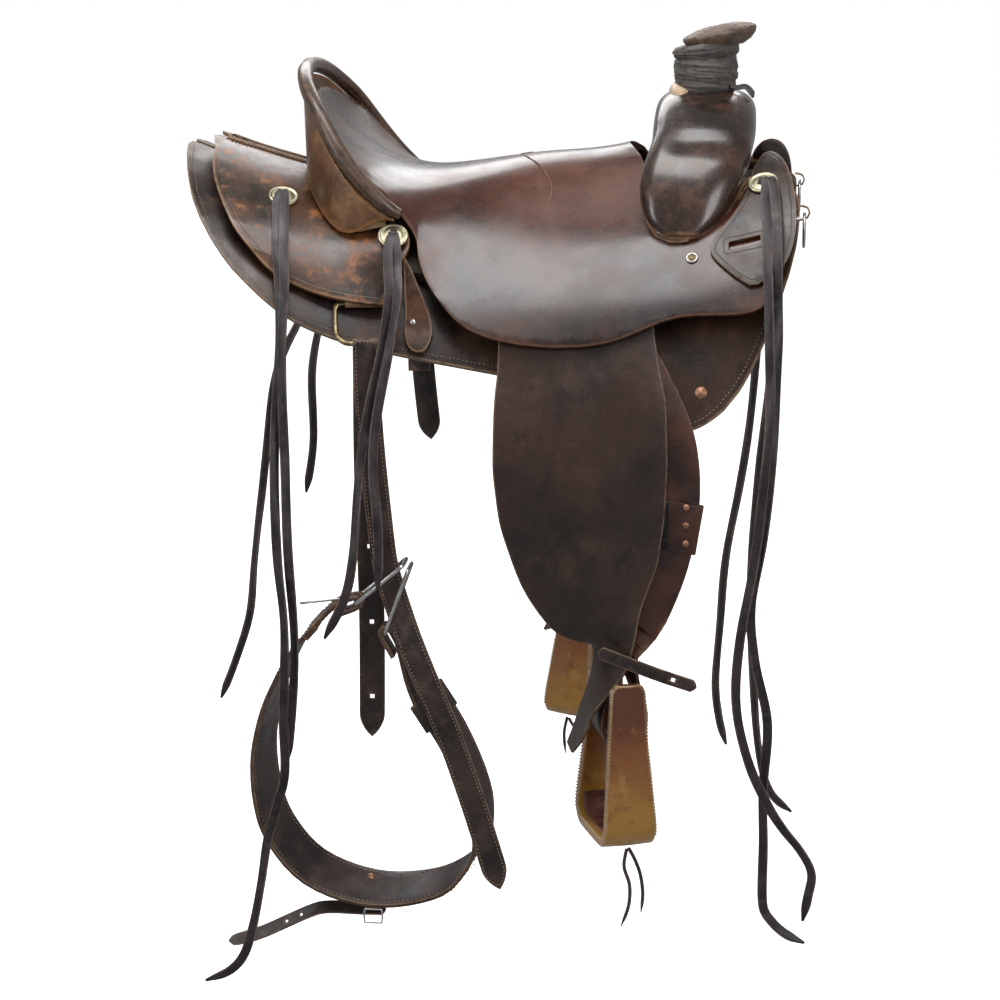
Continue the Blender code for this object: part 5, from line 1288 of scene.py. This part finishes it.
stitch_round("flank_cinch", 0.0055, to_heart, "flank_set_right", 0.0054, name="cinch_inner")
stitch_round("flank_cinch", 0.0055, lambda p: -to_heart(p), "flank_set_right", 0.0054, name="cinch_outer")
stitch_round("flank_billet_right", 0.0035, lambda p: Vector((0, -1, 0)), "flank_set_right", 0.0046)
stitch_round("flank_billet_left", 0.0035, lambda p: Vector((0, 1, 0)), "flank_set_left", 0.0046)

# Two leather keepers slide on the cinch: one by each buckle.
CINCH_NEAR_Y, CINCH_HALF_WIDTH = -0.291, 0.032
tilt = Vector((0.30, 1, 0.34)).normalized()  # the cinch's own width, from its near edge to its far one
HALF, HIGH, BULGE = 0.0345, 0.0046, 0.002
KEEPER_LOOP = (
    (-HALF, HIGH), (0, HIGH), (HALF, HIGH), (HALF + BULGE, 0),
    (HALF, -HIGH), (0, -HIGH), (-HALF, -HIGH), (-HALF - BULGE, 0),
)
keeper_brown = hide(
    "cinch_keeper_hide", (0.03, 0.014, 0.009), (0.12, 0.05, 0.024), (0.24, 0.11, 0.05), (0.34, 0.19, 0.1),
    Patch_scale=35.0, Roughness=0.42, coat=0.1,
)
for name, top, low, wide, material in (
    ("cinch_keeper_hung", (-0.098, -0.535), (-0.058, -0.598), 0.036, strap_hide),
    ("cinch_keeper_free", (-0.200, -0.452), (-0.235, -0.492), 0.020, keeper_brown),
):
    a, b = Vector((top[0], CINCH_NEAR_Y, top[1])), Vector((low[0], CINCH_NEAR_Y, low[1]))
    along = (b - a).normalized()
    across = (tilt - along * tilt.dot(along)).normalized()
    out = along.cross(across)
    centre = (a + b) / 2 + tilt * CINCH_HALF_WIDTH
    line = [centre + across * u + out * h for u, h in KEEPER_LOOP]
    line = evenly(curve_through(line + line[:1], 6), 0.003)

    def away(i, point, centre=centre, across=across):
        return (point - centre) - across * (point - centre).dot(across) * 0.86

    keeper = lay_strip(name, line, away, wide, 0.0022)
    dressed(keeper, material, "flank_set_right")

# The connecting strap's small buckle and the rivet through the cinch.
BUCKLE_MIDDLE = Vector((-0.139, -0.2955, -0.8075))
BUCKLE_FRAME = (
    (-0.010, 0.008), (0.010, 0.008), (0.011, 0), (0.010, -0.009), (-0.010, -0.009), (-0.011, 0), (-0.010, 0.008),
)
ring = [BUCKLE_MIDDLE + Vector((u, 0, v)) for u, v in BUCKLE_FRAME]
cord_line("connecting_buckle", ring, 0.0012, steel, "flank_set_right")
place = Vector((0.14, -0.37, 0.92)).to_track_quat("Z", "Y").to_matrix().to_4x4()
place.translation = Vector((-0.1483, -0.2462, -0.7768))
cinch_rivet = lathe("cinch_rivet", ((0, 0.0017), (0.0028, 0.0016), (0.0045, 0.0006), (0.0050, 0)), place, 20)
dressed(cinch_rivet, copper, "flank_set_right")
